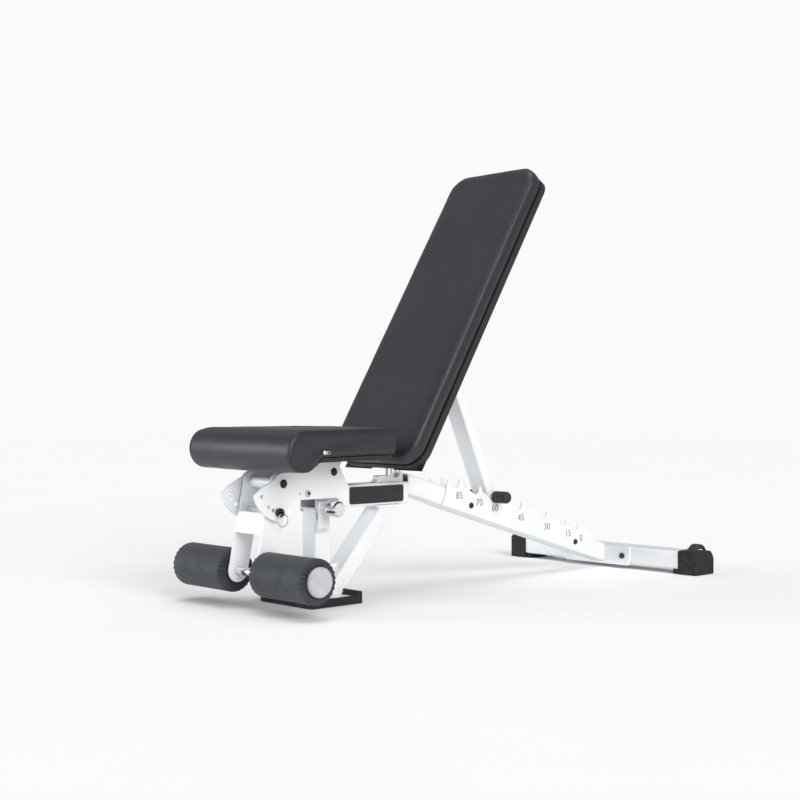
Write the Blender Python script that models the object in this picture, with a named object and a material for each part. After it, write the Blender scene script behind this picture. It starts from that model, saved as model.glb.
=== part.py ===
"""Adjustable weight bench: sloped ladder frame, hinged back and seat pads, leg-roller arm.

World frame: metres, +Z up, +X towards the transport wheels, -Y to the left of a
person who sits on the bench facing the rollers.  The origin is on the floor under
the upright's rubber foot.  The bench is modelled with the crossbar seated in the
60-degree notch of the ladder.
"""
import math

import bmesh
import bpy
from mathutils import Matrix, Vector

SIDES = ((-1, "left"), (1, "right"))

# ------------------------------------------------------------------ clearances
GAP = 0.0003                 # between pieces that rest on or are welded to each other
RUN = 0.00006                # radial clearance of every running fit
SWING_GAP = 0.0005           # side clearance of pieces that turn past each other
BOLT_SIDES = 16              # facets round a bolt, its hole and its sleeve

# ------------------------------------------------------------ front foot and post
FOOT_FRONT = -0.069
FOOT_REAR = 0.094
FOOT_HALF_WIDTH = 0.100
FOOT_FLOOR = 0.006
FOOT_WALL = 0.0065
FOOT_LIP = 0.020
FOOT_REAR_LIP = 0.028
BASE_PLATE_THICKNESS = 0.008
POST_SIDE = 0.050
POST_FRONT = 0.004
TUBE_WALL = 0.003
TUBE_CORNER = 0.006

# ---------------------------------------------------------------------- spine
SPINE_WIDTH = 0.060
SPINE_BOTTOM = 0.225
FRONT_SPINE_HEIGHT = 0.055
FRONT_SPINE_START = 0.002
SPINE_BREAK = 0.306          # where the sloped rear tube butts against the front tube
REAR_SPINE_DEPTH = 0.050
REAR_SPINE_STEP = 0.0236     # rear tube's lower edge above the front tube's
REAR_SPINE_SLOPE = math.radians(16.4)
BRACE_DEPTH = 0.042
BRACE_ANGLE = math.radians(48.3)
BRACE_TOP = 0.2458           # brace centreline at the spine's lower face
BRACE_CAP_THICKNESS = 0.006
GUSSET_TOP = 0.088
GUSSET_THICKNESS = 0.008

# ------------------------------------------------------------------ rear foot
FLANGE_FRONT = 1.0935
FLANGE_THICKNESS = 0.008
FLANGE_HALF_WIDTH = 0.120
FLANGE_BOTTOM = 0.010
FLANGE_TOP = 0.064
FLANGE_BOLT_Y = 0.095
REAR_TUBE_DEPTH = 0.077
REAR_TUBE_BOTTOM = 0.014
REAR_TUBE_HEIGHT = 0.050
REAR_TUBE_HALF_LENGTH = 0.300
REAR_CAP_OVERLAP = 0.015     # cap skirt over the cross tube's end
REAR_CAP_BLOCK = 0.043       # cap beyond the cross tube's end
REAR_CAP_SKIRT = 0.0025
REAR_CAP_HEEL = 0.009
REAR_CAP_LIP = 0.020         # tongue under the tube, inwards from the cap
WHEEL_RADIUS = 0.032
WHEEL_WIDTH = 0.028
WHEEL_INSET = 0.0375         # wheel centre inwards from the cross tube's end
WHEEL_Z = 0.043
WHEEL_BEHIND_TUBE = 0.043
WHEEL_AXLE_RADIUS = 0.005
WHEEL_ARM_THICKNESS = 0.004

# ----------------------------------------------------------- side (fan) plates
SIDE_PLATE_OUTER = 0.066
SIDE_PLATE_THICKNESS = 0.005
ARM_PIVOT = Vector((-0.1243, 0.0, 0.2931))
SEAT_PIVOT = Vector((0.0283, 0.0, 0.3155))
CARRIER_BOLT = Vector((-0.0530, 0.0, 0.2680))
ARM_HOLE_CIRCLE = 0.067      # radius of the row of arm-locking holes
ARM_HOLE_STEP = math.radians(13.6)
ARM_HOLE_COUNT = 5
LOCK_HOLE_RADIUS = 0.0050
PIVOT_BOLT_RADIUS = 0.006
CARRIER_DEPTH = 0.044
CARRIER_BOTTOM = 0.2560
CARRIER_HEIGHT = 0.0235

# ----------------------------------------------------------- leg-roller arm
ARM_LEAN = math.radians(12.0)
ARM_LENGTH = 0.211
ARM_HALF_WIDTH = 0.0545
ARM_PLATE = 0.005
ARM_TOP_RADIUS = 0.0280
ARM_END_RADIUS = 0.0276
ARM_WEB_START = 0.0735
ARM_WEB_END = 0.124
ARM_SLEEVE_RADIUS = 0.013
ROLLER_AXLE_RADIUS = 0.010
ROLLER_RADIUS = 0.052
ROLLER_INNER = 0.0570
ROLLER_OUTER = 0.2470
ROLLER_CAP_RADIUS = 0.034
ROLLER_CAP_THICKNESS = 0.009
PIN_SHAFT_RADIUS = 0.0046
PIN_HEAD_RADIUS = 0.0105
PIN_TIP_GAP = 0.0005
RING_RADIUS = 0.0150
RING_WIRE = 0.0014

# ----------------------------------------------------------------------- seat
PAD_WIDTH = 0.310
SEAT_FRONT_WIDTH = 0.392     # across the front roll; the seat narrows towards the back pad
SEAT_REAR_WIDTH = 0.318
SEAT_TOP = 0.4205
SEAT_FOAM_BOTTOM = 0.3560
SEAT_REAR = 0.148
SEAT_ROLL = Vector((-0.1620, 0.0, 0.3712))
SEAT_ROLL_RADIUS = 0.0493
SEAT_BOARD_THICKNESS = 0.0100
SEAT_BOARD_INSET = 0.006
SECTOR_PLATE = 0.003
SEAT_PIN_OFFSET = Vector((-0.0093, 0.0, -0.0875))   # seat pin centre from the seat pivot
SEAT_HOLE_STEP = math.radians(12.5)
SEAT_HOLE_COUNT = 3
SECTOR_RIM = 0.013
SEAT_PIN_TAB = 0.004
SEAT_BARREL_RADIUS = 0.0120
SEAT_BARREL_LENGTH = 0.018
SEAT_KNOB_RADIUS = 0.0190
SEAT_KNOB_LENGTH = 0.042

# ----------------------------------------------------------------------- back
BACK_ANGLE = math.radians(58.4)
BACK_PIVOT = Vector((0.278, 0.0, 0.336))
BACK_PIVOT_BEHIND = 0.0808   # pad front face to the pivot
BACK_BELOW_PIVOT = 0.0383    # pad's lower end below the pivot, along the pad
BACK_LENGTH = 0.898
BACK_FOAM = 0.0425
BACK_BOARD = 0.0180
BACK_SEAM = 0.0024           # groove between the foam cover and the board
BACK_CORNER = 0.050
RAIL_THICKNESS = 0.005
RAIL_DEPTH = 0.024
RAIL_LENGTH = 0.560
RAIL_FLANGE = 0.026
STRUT_PIVOT_UP = 0.3169      # strut pivot above the back pivot, along the pad
STRUT_PIVOT_BEHIND = 0.0256  # strut pivot behind the board's back face
STRUT_LENGTH = 0.412
STRUT_LEAN = math.radians(24.3)
STRUT_SIDE_GAP = 0.001       # each side, to the inner faces of the ladder plates
STRUT_DEPTH = 0.030
STRUT_PIN_RADIUS = 0.008
CROSSBAR_RADIUS = 0.011
GRIP_RADIUS = 0.0160
GRIP_SIDE_GAP = 0.0011       # grip to the outer face of its ladder plate
GRIP_OUTER = 0.0850
HINGE_PIN_RADIUS = 0.006
HINGE_HALF_WIDTH = 0.0105
HINGE_PLATE = 0.004

# --------------------------------------------------------------------- ladder
LADDER_THICKNESS = 0.005
LADDER_FRONT = 0.4225
LADDER_TIP = 0.006           # land left in front of the first notch's mouth
LADDER_REAR = 1.022
NOTCH_ANGLES = (85.0, 70.0, 60.0, 45.0, 30.0, 15.0, 0.0)
NOTCH_FLOOR = 0.0056         # notch floor above the rear spine's top face
NOTCH_RADIUS = 0.0140
NOTCH_DRIFT = 0.0010         # notch arc down the slope from the seated bar's axis
HOOK_LEAN = 0.0028           # hook tip leans over the bar, so its wall stands upright
HOOK_HEIGHT = 0.0310         # hook tip above the rear spine's top face
HOOK_WIDTH = 0.0095
LAND_HEIGHT = 0.0185
NOTCH_MOUTH = 0.034
LADDER_BOLT_RADIUS = 0.005
LADDER_BOLT_X = (0.5293, 0.9549)
LADDER_BOLT_ABOVE = 0.024    # bolts above the rear spine's lower face

# ------------------------------------------------------------- derived values
SPINE_HALF = SPINE_WIDTH / 2
SPINE_TOP = SPINE_BOTTOM + FRONT_SPINE_HEIGHT
BASE_PLATE_TOP = FOOT_FLOOR + GAP + BASE_PLATE_THICKNESS
POST_REAR = POST_FRONT + POST_SIDE
REAR_TUBE_FRONT = FLANGE_FRONT + FLANGE_THICKNESS + GAP
REAR_TUBE_REAR = REAR_TUBE_FRONT + REAR_TUBE_DEPTH
REAR_TUBE_TOP = REAR_TUBE_BOTTOM + REAR_TUBE_HEIGHT
REAR_CAP_INNER = REAR_TUBE_HALF_LENGTH - REAR_CAP_OVERLAP
REAR_CAP_OUTER = REAR_TUBE_HALF_LENGTH + REAR_CAP_BLOCK
WHEEL_X = REAR_TUBE_REAR + WHEEL_BEHIND_TUBE
WHEEL_Y = REAR_TUBE_HALF_LENGTH - WHEEL_INSET
SIDE_PLATE_INNER = SIDE_PLATE_OUTER - SIDE_PLATE_THICKNESS
SECTOR_INNER = SPINE_HALF + SWING_GAP
SECTOR_OUTER = SECTOR_INNER + SECTOR_PLATE
SEAT_BOARD_TOP = SEAT_FOAM_BOTTOM - GAP
SEAT_BOARD_BOTTOM = SEAT_BOARD_TOP - SEAT_BOARD_THICKNESS
SEAT_PIN = SEAT_PIVOT + SEAT_PIN_OFFSET
ARM_DOWN = Vector((-math.sin(ARM_LEAN), 0.0, -math.cos(ARM_LEAN)))
ARM_BACK = Vector((math.cos(ARM_LEAN), 0.0, -math.sin(ARM_LEAN)))
ARM_AXLE = ARM_PIVOT + ARM_DOWN * ARM_LENGTH
ARM_PIN = ARM_PIVOT + ARM_DOWN * ARM_HOLE_CIRCLE
PAD_UP = Vector((math.cos(BACK_ANGLE), 0.0, math.sin(BACK_ANGLE)))
PAD_IN = Vector((math.sin(BACK_ANGLE), 0.0, -math.cos(BACK_ANGLE)))
PAD_ORIGIN = BACK_PIVOT - PAD_IN * BACK_PIVOT_BEHIND - PAD_UP * BACK_BELOW_PIVOT
BOARD_FRONT = BACK_FOAM + BACK_SEAM
BOARD_BACK = BOARD_FRONT + BACK_BOARD
RAIL_INNER = SPINE_HALF + GAP
RAIL_OUTER = RAIL_INNER + RAIL_THICKNESS
STRUT_TOP = (PAD_ORIGIN + PAD_UP * (BACK_BELOW_PIVOT + STRUT_PIVOT_UP)
             + PAD_IN * (BOARD_BACK + STRUT_PIVOT_BEHIND))
STRUT_DOWN = Vector((math.sin(STRUT_LEAN), 0.0, -math.cos(STRUT_LEAN)))
CROSSBAR = STRUT_TOP + STRUT_DOWN * STRUT_LENGTH
SLOPE_DOWN = Vector((math.cos(REAR_SPINE_SLOPE), 0.0, -math.sin(REAR_SPINE_SLOPE)))
SLOPE_UP = Vector((math.sin(REAR_SPINE_SLOPE), 0.0, math.cos(REAR_SPINE_SLOPE)))
REAR_SPINE_START = Vector((SPINE_BREAK + GAP, 0.0, SPINE_BOTTOM + REAR_SPINE_STEP))
LADDER_INNER = SPINE_HALF + GAP
LADDER_OUTER = LADDER_INNER + LADDER_THICKNESS
STRUT_WIDTH = (SPINE_HALF - STRUT_SIDE_GAP) * 2
GRIP_INNER = LADDER_OUTER + GRIP_SIDE_GAP
NOTCH_LIFT = NOTCH_RADIUS - CROSSBAR_RADIUS - GAP * 2


# ------------------------------------------------------------------- materials
def make_material(name, colour, roughness, metallic=0.0):
    """A Principled material with one colour, roughness and metallic value."""
    material = bpy.data.materials.new(name)
    material.use_nodes = True
    shader = material.node_tree.nodes["Principled BSDF"]
    shader.inputs["Base Color"].default_value = (*colour, 1.0)
    shader.inputs["Roughness"].default_value = roughness
    shader.inputs["Metallic"].default_value = metallic
    material.diffuse_color = (*colour, 1.0)
    return material


def make_materials():
    """Every finish on the bench, by name."""
    return {
        "white_paint": make_material("white_paint", (0.86, 0.87, 0.88), 0.35),
        "vinyl": make_material("vinyl", (0.055, 0.057, 0.060), 0.55),
        "board": make_material("board", (0.040, 0.040, 0.042), 0.60),
        "rubber": make_material("rubber", (0.025, 0.025, 0.026), 0.75),
        "foam": make_material("foam", (0.085, 0.085, 0.088), 0.80),
        "chrome": make_material("chrome", (0.80, 0.80, 0.82), 0.12, 1.0),
        "black_bolt": make_material("black_bolt", (0.020, 0.020, 0.022), 0.40, 0.6),
        "zinc": make_material("zinc", (0.62, 0.63, 0.65), 0.32, 1.0),
        "black_plate": make_material("black_plate", (0.012, 0.012, 0.013), 0.45),
        "cap_plastic": make_material("cap_plastic", (0.80, 0.81, 0.82), 0.40),
    }


# ------------------------------------------------------------ shape helpers
def arc(centre, radius, start, end, steps):
    """Points on a circle from one angle to another, both ends included (degrees)."""
    points = []
    for i in range(steps + 1):
        angle = math.radians(start + (end - start) * i / steps)
        points.append((centre[0] + radius * math.cos(angle),
                       centre[1] + radius * math.sin(angle)))
    return points


def rounded_rectangle(low, high, radius, steps=3):
    """Outline of a rectangle with round corners, anticlockwise."""
    corners = (((high[0] - radius, high[1] - radius), 0.0),
               ((low[0] + radius, high[1] - radius), 90.0),
               ((low[0] + radius, low[1] + radius), 180.0),
               ((high[0] - radius, low[1] + radius), 270.0))
    points = []
    for centre, start in corners:
        points += arc(centre, radius, start, start + 90.0, steps)
    return points


def capsule(first, first_radius, second, second_radius, steps=10):
    """Outline of two circles joined by their outer tangents."""
    run = Vector((second[0] - first[0], second[1] - first[1]))
    heading = math.degrees(math.atan2(run.y, run.x))
    spread = math.degrees(math.acos((first_radius - second_radius) / run.length))
    points = arc(first, first_radius, heading + spread, heading + 360.0 - spread, steps)
    points += arc(second, second_radius, heading - spread, heading + spread, steps)
    return points


def fillet(before, corner, after, radius, steps=3):
    """Round one corner of an outline with an arc tangent to both its sides."""
    corner = Vector(corner)
    to_before = (Vector(before) - corner).normalized()
    to_after = (Vector(after) - corner).normalized()
    half = to_before.angle(to_after) / 2
    bisector = (to_before + to_after).normalized()
    centre = corner + bisector * (radius / math.sin(half))
    first = corner + to_before * (radius / math.tan(half))
    last = corner + to_after * (radius / math.tan(half))
    start = math.atan2(first.y - centre.y, first.x - centre.x)
    turn = math.atan2(last.y - centre.y, last.x - centre.x) - start
    turn = (turn + math.pi) % (2 * math.pi) - math.pi
    return arc(centre, radius, math.degrees(start), math.degrees(start + turn), steps)


def rounded_outline(corners, steps=3):
    """Outline from (x, y, radius) corners; a radius of 0 keeps a corner sharp."""
    points = []
    for i, (x, y, radius) in enumerate(corners):
        if radius > 0.0:
            before = corners[i - 1][:2]
            after = corners[(i + 1) % len(corners)][:2]
            points += fillet(before, (x, y), after, radius, steps)
        else:
            points.append((x, y))
    return points


def place(axis, u, v, along):
    """World point of an outline point (u, v) on a plane across the given axis."""
    if axis == "X":
        return Vector((along, u, v))
    if axis == "Y":
        return Vector((u, along, v))
    return Vector((u, v, along))


def add_object(name, bm, material, origin=(0.0, 0.0, 0.0), smooth=True):
    """Turn a bmesh in world coordinates into an object with the given origin."""
    bmesh.ops.recalc_face_normals(bm, faces=bm.faces)
    bmesh.ops.translate(bm, verts=bm.verts, vec=-Vector(origin))
    mesh = bpy.data.meshes.new(name)
    bm.to_mesh(mesh)
    bm.free()
    if smooth:
        mesh.shade_smooth()
        mesh.set_sharp_from_angle(angle=math.radians(32.0))
    item = bpy.data.objects.new(name, mesh)
    item.location = origin
    if material is not None:
        mesh.materials.append(material)
    bpy.context.scene.collection.objects.link(item)
    return item


def prism_bmesh(outline, axis, low, high):
    """A flat outline extruded along a world axis."""
    bm = bmesh.new()
    face = bm.faces.new([bm.verts.new(place(axis, u, v, low)) for u, v in outline])
    extruded = bmesh.ops.extrude_face_region(bm, geom=[face])
    moved = [item for item in extruded["geom"] if isinstance(item, bmesh.types.BMVert)]
    step = place(axis, 0.0, 0.0, high) - place(axis, 0.0, 0.0, low)
    bmesh.ops.translate(bm, verts=moved, vec=step)
    return bm


def prism(name, outline, axis, low, high, material, origin=(0.0, 0.0, 0.0)):
    """An extruded plate or block."""
    return add_object(name, prism_bmesh(outline, axis, low, high), material, origin)


def block(name, low, high, material, origin=(0.0, 0.0, 0.0)):
    """A plain rectangular block between two corners."""
    outline = ((low[0], low[1]), (high[0], low[1]), (high[0], high[1]), (low[0], high[1]))
    return prism(name, outline, "Z", low[2], high[2], material, origin)


def tube(name, outer, inner, start, across, along, planes, material, origin=(0.0, 0.0, 0.0)):
    """A hollow tube between two cutting planes, with its open ends cut to them.

    outer and inner are profiles with the same number of points, given along
    `across` and along the direction square to both `across` and the tube.
    """
    along = along.normalized()
    square = along.cross(across).normalized()
    bm = bmesh.new()
    rings = []
    for profile in (outer, inner):
        for point, normal in planes:
            ring = []
            for a, b in profile:
                base = start + across * a + square * b
                run = (point - base).dot(normal) / along.dot(normal)
                ring.append(bm.verts.new(base + along * run))
            rings.append(ring)
    count = len(outer)
    outer_start, outer_end, inner_start, inner_end = rings
    for i in range(count):
        j = (i + 1) % count
        bm.faces.new((outer_start[i], outer_start[j], outer_end[j], outer_end[i]))
        bm.faces.new((inner_start[j], inner_start[i], inner_end[i], inner_end[j]))
        bm.faces.new((outer_start[j], outer_start[i], inner_start[i], inner_start[j]))
        bm.faces.new((outer_end[i], outer_end[j], inner_end[j], inner_end[i]))
    return add_object(name, bm, material, origin)


def box_profiles(width, depth, wall, corner):
    """Outer and inner outlines of a rectangular tube, centred on its axis."""
    outer = rounded_rectangle((-width / 2, -depth / 2), (width / 2, depth / 2), corner)
    inner = rounded_rectangle((-width / 2 + wall, -depth / 2 + wall),
                              (width / 2 - wall, depth / 2 - wall), max(corner - wall, 0.001))
    return outer, inner


def turned_bmesh(profile, centre, axis, segments):
    """Revolve a closed (radius, position) profile about an axis through a point."""
    axis = Vector(axis).normalized()
    side = axis.orthogonal().normalized()
    up = axis.cross(side)
    bm = bmesh.new()
    rings = []
    for radius, position in profile:
        middle = Vector(centre) + axis * position
        if radius == 0.0:
            rings.append([bm.verts.new(middle)] * segments)
            continue
        ring = []
        for i in range(segments):
            angle = 2 * math.pi * i / segments
            ring.append(bm.verts.new(middle + side * radius * math.cos(angle)
                                     + up * radius * math.sin(angle)))
        rings.append(ring)
    for first, second in zip(rings, rings[1:] + rings[:1]):
        for i in range(segments):
            j = (i + 1) % segments
            corners = []
            for vertex in (first[i], first[j], second[j], second[i]):
                if vertex not in corners:
                    corners.append(vertex)
            if len(corners) > 2:
                bm.faces.new(corners)
    return bm


def turned(name, profile, centre, axis, segments, material, origin=(0.0, 0.0, 0.0)):
    """A turned piece: a bolt, pin, sleeve, wheel or knob."""
    return add_object(name, turned_bmesh(profile, centre, axis, segments), material, origin)


def sleeve_profile(inner, outer, low, high):
    """Profile of a plain sleeve or washer."""
    return ((inner, low), (outer, low), (outer, high), (inner, high))


def rod_profile(radius, low, high, chamfer=0.0008):
    """Profile of a solid rod with chamfered ends."""
    return ((0.0, low), (radius - chamfer, low), (radius, low + chamfer),
            (radius, high - chamfer), (radius - chamfer, high), (0.0, high))


def combine(item, other, operation):
    """Boolean one object with another, which is then only a guide."""
    other.hide_render = True
    other.display_type = "WIRE"
    modifier = item.modifiers.new(operation.lower() + "_" + other.name, "BOOLEAN")
    modifier.operation = operation
    modifier.solver = "EXACT"
    modifier.object = other


def drill(item, centre, axis, radius, low, high, segments=BOLT_SIDES):
    """Cut a round hole along an axis through a point."""
    profile = ((0.0, low), (radius, low), (radius, high), (0.0, high))
    cutter = turned("drill_" + item.name + "_" + str(len(item.modifiers)), profile,
                    centre, axis, segments, None)
    combine(item, cutter, "DIFFERENCE")


def running_radius(shaft, segments=BOLT_SIDES):
    """Hole radius whose flats clear a shaft by the running clearance."""
    return (shaft + RUN) / math.cos(math.pi / segments)


def slope_point(distance, height):
    """Point on the rear spine: distance down the slope, height above its lower face."""
    return REAR_SPINE_START + SLOPE_DOWN * distance + SLOPE_UP * height


def slope_distance(x, height=0.0):
    """Distance down the slope at which a line at the given height reaches x."""
    return (x - REAR_SPINE_START.x - SLOPE_UP.x * height) / SLOPE_DOWN.x


def pad_point(up, into, y=0.0):
    """Point in the back pad's frame: up along it, into it from its front face."""
    point = PAD_ORIGIN + PAD_UP * up + PAD_IN * into
    return Vector((point.x, y, point.z))


# -------------------------------------------------------------- base and spine
def make_rubber_foot(finish):
    """Rubber tray under the base plate, with a taller lip at the rear."""
    low = (FOOT_FRONT, -FOOT_HALF_WIDTH)
    high = (FOOT_REAR, FOOT_HALF_WIDTH)
    foot = prism("base_rubber_foot", rounded_rectangle(low, high, 0.010), "Z", 0.0,
                 FOOT_REAR_LIP, finish["rubber"])
    pocket_low = (FOOT_FRONT + FOOT_WALL, -FOOT_HALF_WIDTH + FOOT_WALL)
    pocket_high = (FOOT_REAR - FOOT_WALL, FOOT_HALF_WIDTH - FOOT_WALL)
    pocket = prism("foot_pocket", rounded_rectangle(pocket_low, pocket_high, 0.005), "Z",
                   FOOT_FLOOR, FOOT_REAR_LIP * 2, None)
    combine(foot, pocket, "DIFFERENCE")
    top = block("foot_lip_step", (FOOT_FRONT * 2, -FOOT_HALF_WIDTH * 2, FOOT_LIP),
                (FOOT_REAR - FOOT_WALL * 3, FOOT_HALF_WIDTH * 2, FOOT_REAR_LIP * 3), None)
    combine(foot, top, "DIFFERENCE")


def make_base_plate(finish):
    """Steel plate seated in the rubber tray."""
    inset = FOOT_WALL + GAP
    low = (FOOT_FRONT + inset, -FOOT_HALF_WIDTH + inset)
    high = (FOOT_REAR - inset, FOOT_HALF_WIDTH - inset)
    prism("base_plate", rounded_rectangle(low, high, 0.0048), "Z", FOOT_FLOOR + GAP,
          BASE_PLATE_TOP, finish["white_paint"])


def make_upright(finish):
    """Square post from the base plate to the underside of the spine."""
    outer, inner = box_profiles(POST_SIDE, POST_SIDE, TUBE_WALL, TUBE_CORNER)
    centre = Vector((POST_FRONT + POST_SIDE / 2, 0.0, 0.0))
    up = Vector((0.0, 0.0, 1.0))
    planes = ((Vector((0.0, 0.0, BASE_PLATE_TOP + GAP)), up),
              (Vector((0.0, 0.0, SPINE_BOTTOM - GAP)), up))
    tube("upright_post", outer, inner, centre, Vector((0.0, 1.0, 0.0)), up, planes,
         finish["white_paint"])


def brace_point(z):
    """Centre of the brace at a height."""
    return Vector((BRACE_TOP - (SPINE_BOTTOM - z) / math.tan(BRACE_ANGLE), 0.0, z))


def make_brace(finish):
    """Diagonal tube from the base plate to a cap plate under the spine."""
    outer, inner = box_profiles(SPINE_WIDTH, BRACE_DEPTH, TUBE_WALL, TUBE_CORNER)
    up = Vector((0.0, 0.0, 1.0))
    cap_bottom = SPINE_BOTTOM - GAP - BRACE_CAP_THICKNESS
    along = brace_point(SPINE_BOTTOM) - brace_point(0.0)
    planes = ((Vector((0.0, 0.0, BASE_PLATE_TOP + GAP)), up),
              (Vector((0.0, 0.0, cap_bottom - GAP)), up))
    brace = tube("brace_tube", outer, inner, brace_point(0.0), Vector((0.0, 1.0, 0.0)),
                 along, planes, finish["white_paint"])
    trim = block("brace_trim", (FOOT_FRONT, -SPINE_WIDTH, 0.0),
                 (POST_REAR + GAP, SPINE_WIDTH, SPINE_BOTTOM), None)
    combine(brace, trim, "DIFFERENCE")
    heel = block("brace_heel_trim", (FOOT_REAR - FOOT_WALL - GAP, -SPINE_WIDTH, 0.0),
                 (FOOT_REAR * 2, SPINE_WIDTH, FOOT_REAR_LIP + GAP), None)
    combine(brace, heel, "DIFFERENCE")
    reach = BRACE_DEPTH / 2 / math.sin(BRACE_ANGLE) + 0.010
    middle = brace_point(cap_bottom).x
    prism("brace_cap_plate", rounded_rectangle((middle - reach, -SPINE_HALF),
                                               (middle + reach, SPINE_HALF), 0.004),
          "Z", cap_bottom, SPINE_BOTTOM - GAP, finish["white_paint"])
    half_run = BRACE_DEPTH / 2 / math.sin(BRACE_ANGLE)
    front_face = POST_REAR + GAP
    low = SPINE_BOTTOM - (BRACE_TOP - half_run - GAP * 2 - front_face) * math.tan(BRACE_ANGLE)
    corner = brace_point(GUSSET_TOP).x - half_run - GAP * 2
    outline = ((front_face, low), (corner, GUSSET_TOP), (front_face, GUSSET_TOP))
    prism("brace_gusset", outline, "Y", -GUSSET_THICKNESS / 2, GUSSET_THICKNESS / 2,
          finish["white_paint"])


def make_spine(finish):
    """Level front tube and sloped rear tube, butted together."""
    across = Vector((0.0, 1.0, 0.0))
    square = Vector((1.0, 0.0, 0.0))
    outer, inner = box_profiles(SPINE_WIDTH, FRONT_SPINE_HEIGHT, TUBE_WALL, TUBE_CORNER)
    middle = Vector((0.0, 0.0, SPINE_BOTTOM + FRONT_SPINE_HEIGHT / 2))
    planes = ((Vector((FRONT_SPINE_START, 0.0, 0.0)), square),
              (Vector((SPINE_BREAK, 0.0, 0.0)), square))
    tube("front_spine", outer, inner, middle, across, square, planes, finish["white_paint"])
    outer, inner = box_profiles(SPINE_WIDTH, REAR_SPINE_DEPTH, TUBE_WALL, TUBE_CORNER)
    planes = ((Vector((SPINE_BREAK + GAP, 0.0, 0.0)), square),
              (Vector((FLANGE_FRONT - GAP, 0.0, 0.0)), square))
    rear = tube("rear_spine", outer, inner, slope_point(0.0, REAR_SPINE_DEPTH / 2), across,
                SLOPE_DOWN, planes, finish["white_paint"])
    for x in LADDER_BOLT_X:
        centre = slope_point(slope_distance(x, LADDER_BOLT_ABOVE), LADDER_BOLT_ABOVE)
        drill(rear, centre, (0.0, 1.0, 0.0), LADDER_BOLT_RADIUS + GAP, -SPINE_WIDTH, SPINE_WIDTH)


def make_label_plate(finish):
    """Blank black plate on the spine's left face."""
    outline = rounded_rectangle((0.108, 0.2315), (0.287, 0.2740), 0.0055)
    prism("label_plate", outline, "Y", -SPINE_HALF - GAP - 0.002, -SPINE_HALF - GAP,
          finish["black_plate"])


# ------------------------------------------------------------------- rear foot
def make_rear_foot(finish):
    """Flange, cross tube and rubber end caps at the rear."""
    flange = prism("rear_flange",
                   rounded_rectangle((-FLANGE_HALF_WIDTH, FLANGE_BOTTOM),
                                     (FLANGE_HALF_WIDTH, FLANGE_TOP), 0.008),
                   "X", FLANGE_FRONT, FLANGE_FRONT + FLANGE_THICKNESS, finish["white_paint"])
    outer, inner = box_profiles(REAR_TUBE_DEPTH, REAR_TUBE_HEIGHT, TUBE_WALL, TUBE_CORNER)
    centre = Vector((REAR_TUBE_FRONT + REAR_TUBE_DEPTH / 2, 0.0,
                     REAR_TUBE_BOTTOM + REAR_TUBE_HEIGHT / 2))
    along = Vector((0.0, 1.0, 0.0))
    planes = ((Vector((0.0, -REAR_TUBE_HALF_LENGTH, 0.0)), along),
              (Vector((0.0, REAR_TUBE_HALF_LENGTH, 0.0)), along))
    cross_tube = tube("rear_cross_tube", outer, inner, centre, Vector((1.0, 0.0, 0.0)), along,
                      planes, finish["white_paint"])
    bolt_z = (FLANGE_BOTTOM + FLANGE_TOP) / 2
    for side, name in SIDES:
        spot = Vector((FLANGE_FRONT, side * FLANGE_BOLT_Y, bolt_z))
        for target in (flange, cross_tube):
            drill(target, spot, (1.0, 0.0, 0.0), 0.0050 + GAP, -0.01,
                  FLANGE_THICKNESS + GAP + TUBE_WALL * 2)
        profile = ((0.0, -0.0065), (0.0050, -0.0065), (0.0082, -0.0048), (0.0082, -GAP),
                   (0.0050, -GAP), (0.0050, FLANGE_THICKNESS + 0.010), (0.0, FLANGE_THICKNESS + 0.010))
        turned("flange_bolt_" + name, profile, spot, (1.0, 0.0, 0.0), 12, finish["black_bolt"])
        make_rear_cap(side, name, finish)
        make_wheel(side, name, finish)


def make_rear_cap(side, name, finish):
    """Rubber cap that closes the cross tube's end and stands on the floor."""
    inner, outer = sorted((side * REAR_CAP_INNER, side * REAR_CAP_OUTER))
    outline = rounded_outline(((REAR_TUBE_FRONT - REAR_CAP_SKIRT, 0.0, 0.005),
                               (REAR_TUBE_REAR + REAR_CAP_HEEL, 0.0, 0.005),
                               (REAR_TUBE_REAR + REAR_CAP_HEEL, 0.046, 0.016),
                               (REAR_TUBE_REAR - 0.006, REAR_TUBE_TOP + REAR_CAP_SKIRT, 0.016),
                               (REAR_TUBE_FRONT - REAR_CAP_SKIRT,
                                REAR_TUBE_TOP + REAR_CAP_SKIRT, 0.008)))
    cap = prism("rear_cap_" + name, outline, "Y", inner, outer, finish["rubber"])
    lip_low, lip_high = sorted((side * (REAR_CAP_INNER - REAR_CAP_LIP), side * (REAR_CAP_INNER + GAP * 10)))
    lip = block("cap_lip_" + name, (REAR_TUBE_FRONT + 0.004, lip_low, 0.0),
                (REAR_TUBE_REAR - 0.004, lip_high, REAR_TUBE_BOTTOM - GAP * 2), None)
    combine(cap, lip, "UNION")
    pocket = rounded_rectangle((REAR_TUBE_FRONT - GAP, REAR_TUBE_BOTTOM - GAP),
                               (REAR_TUBE_REAR + GAP, REAR_TUBE_TOP + GAP), TUBE_CORNER)
    low, high = sorted((side * (REAR_CAP_INNER - 0.02), side * (REAR_TUBE_HALF_LENGTH + GAP)))
    cutter = prism("cap_pocket_" + name, pocket, "Y", low, high, None)
    combine(cap, cutter, "DIFFERENCE")


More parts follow.
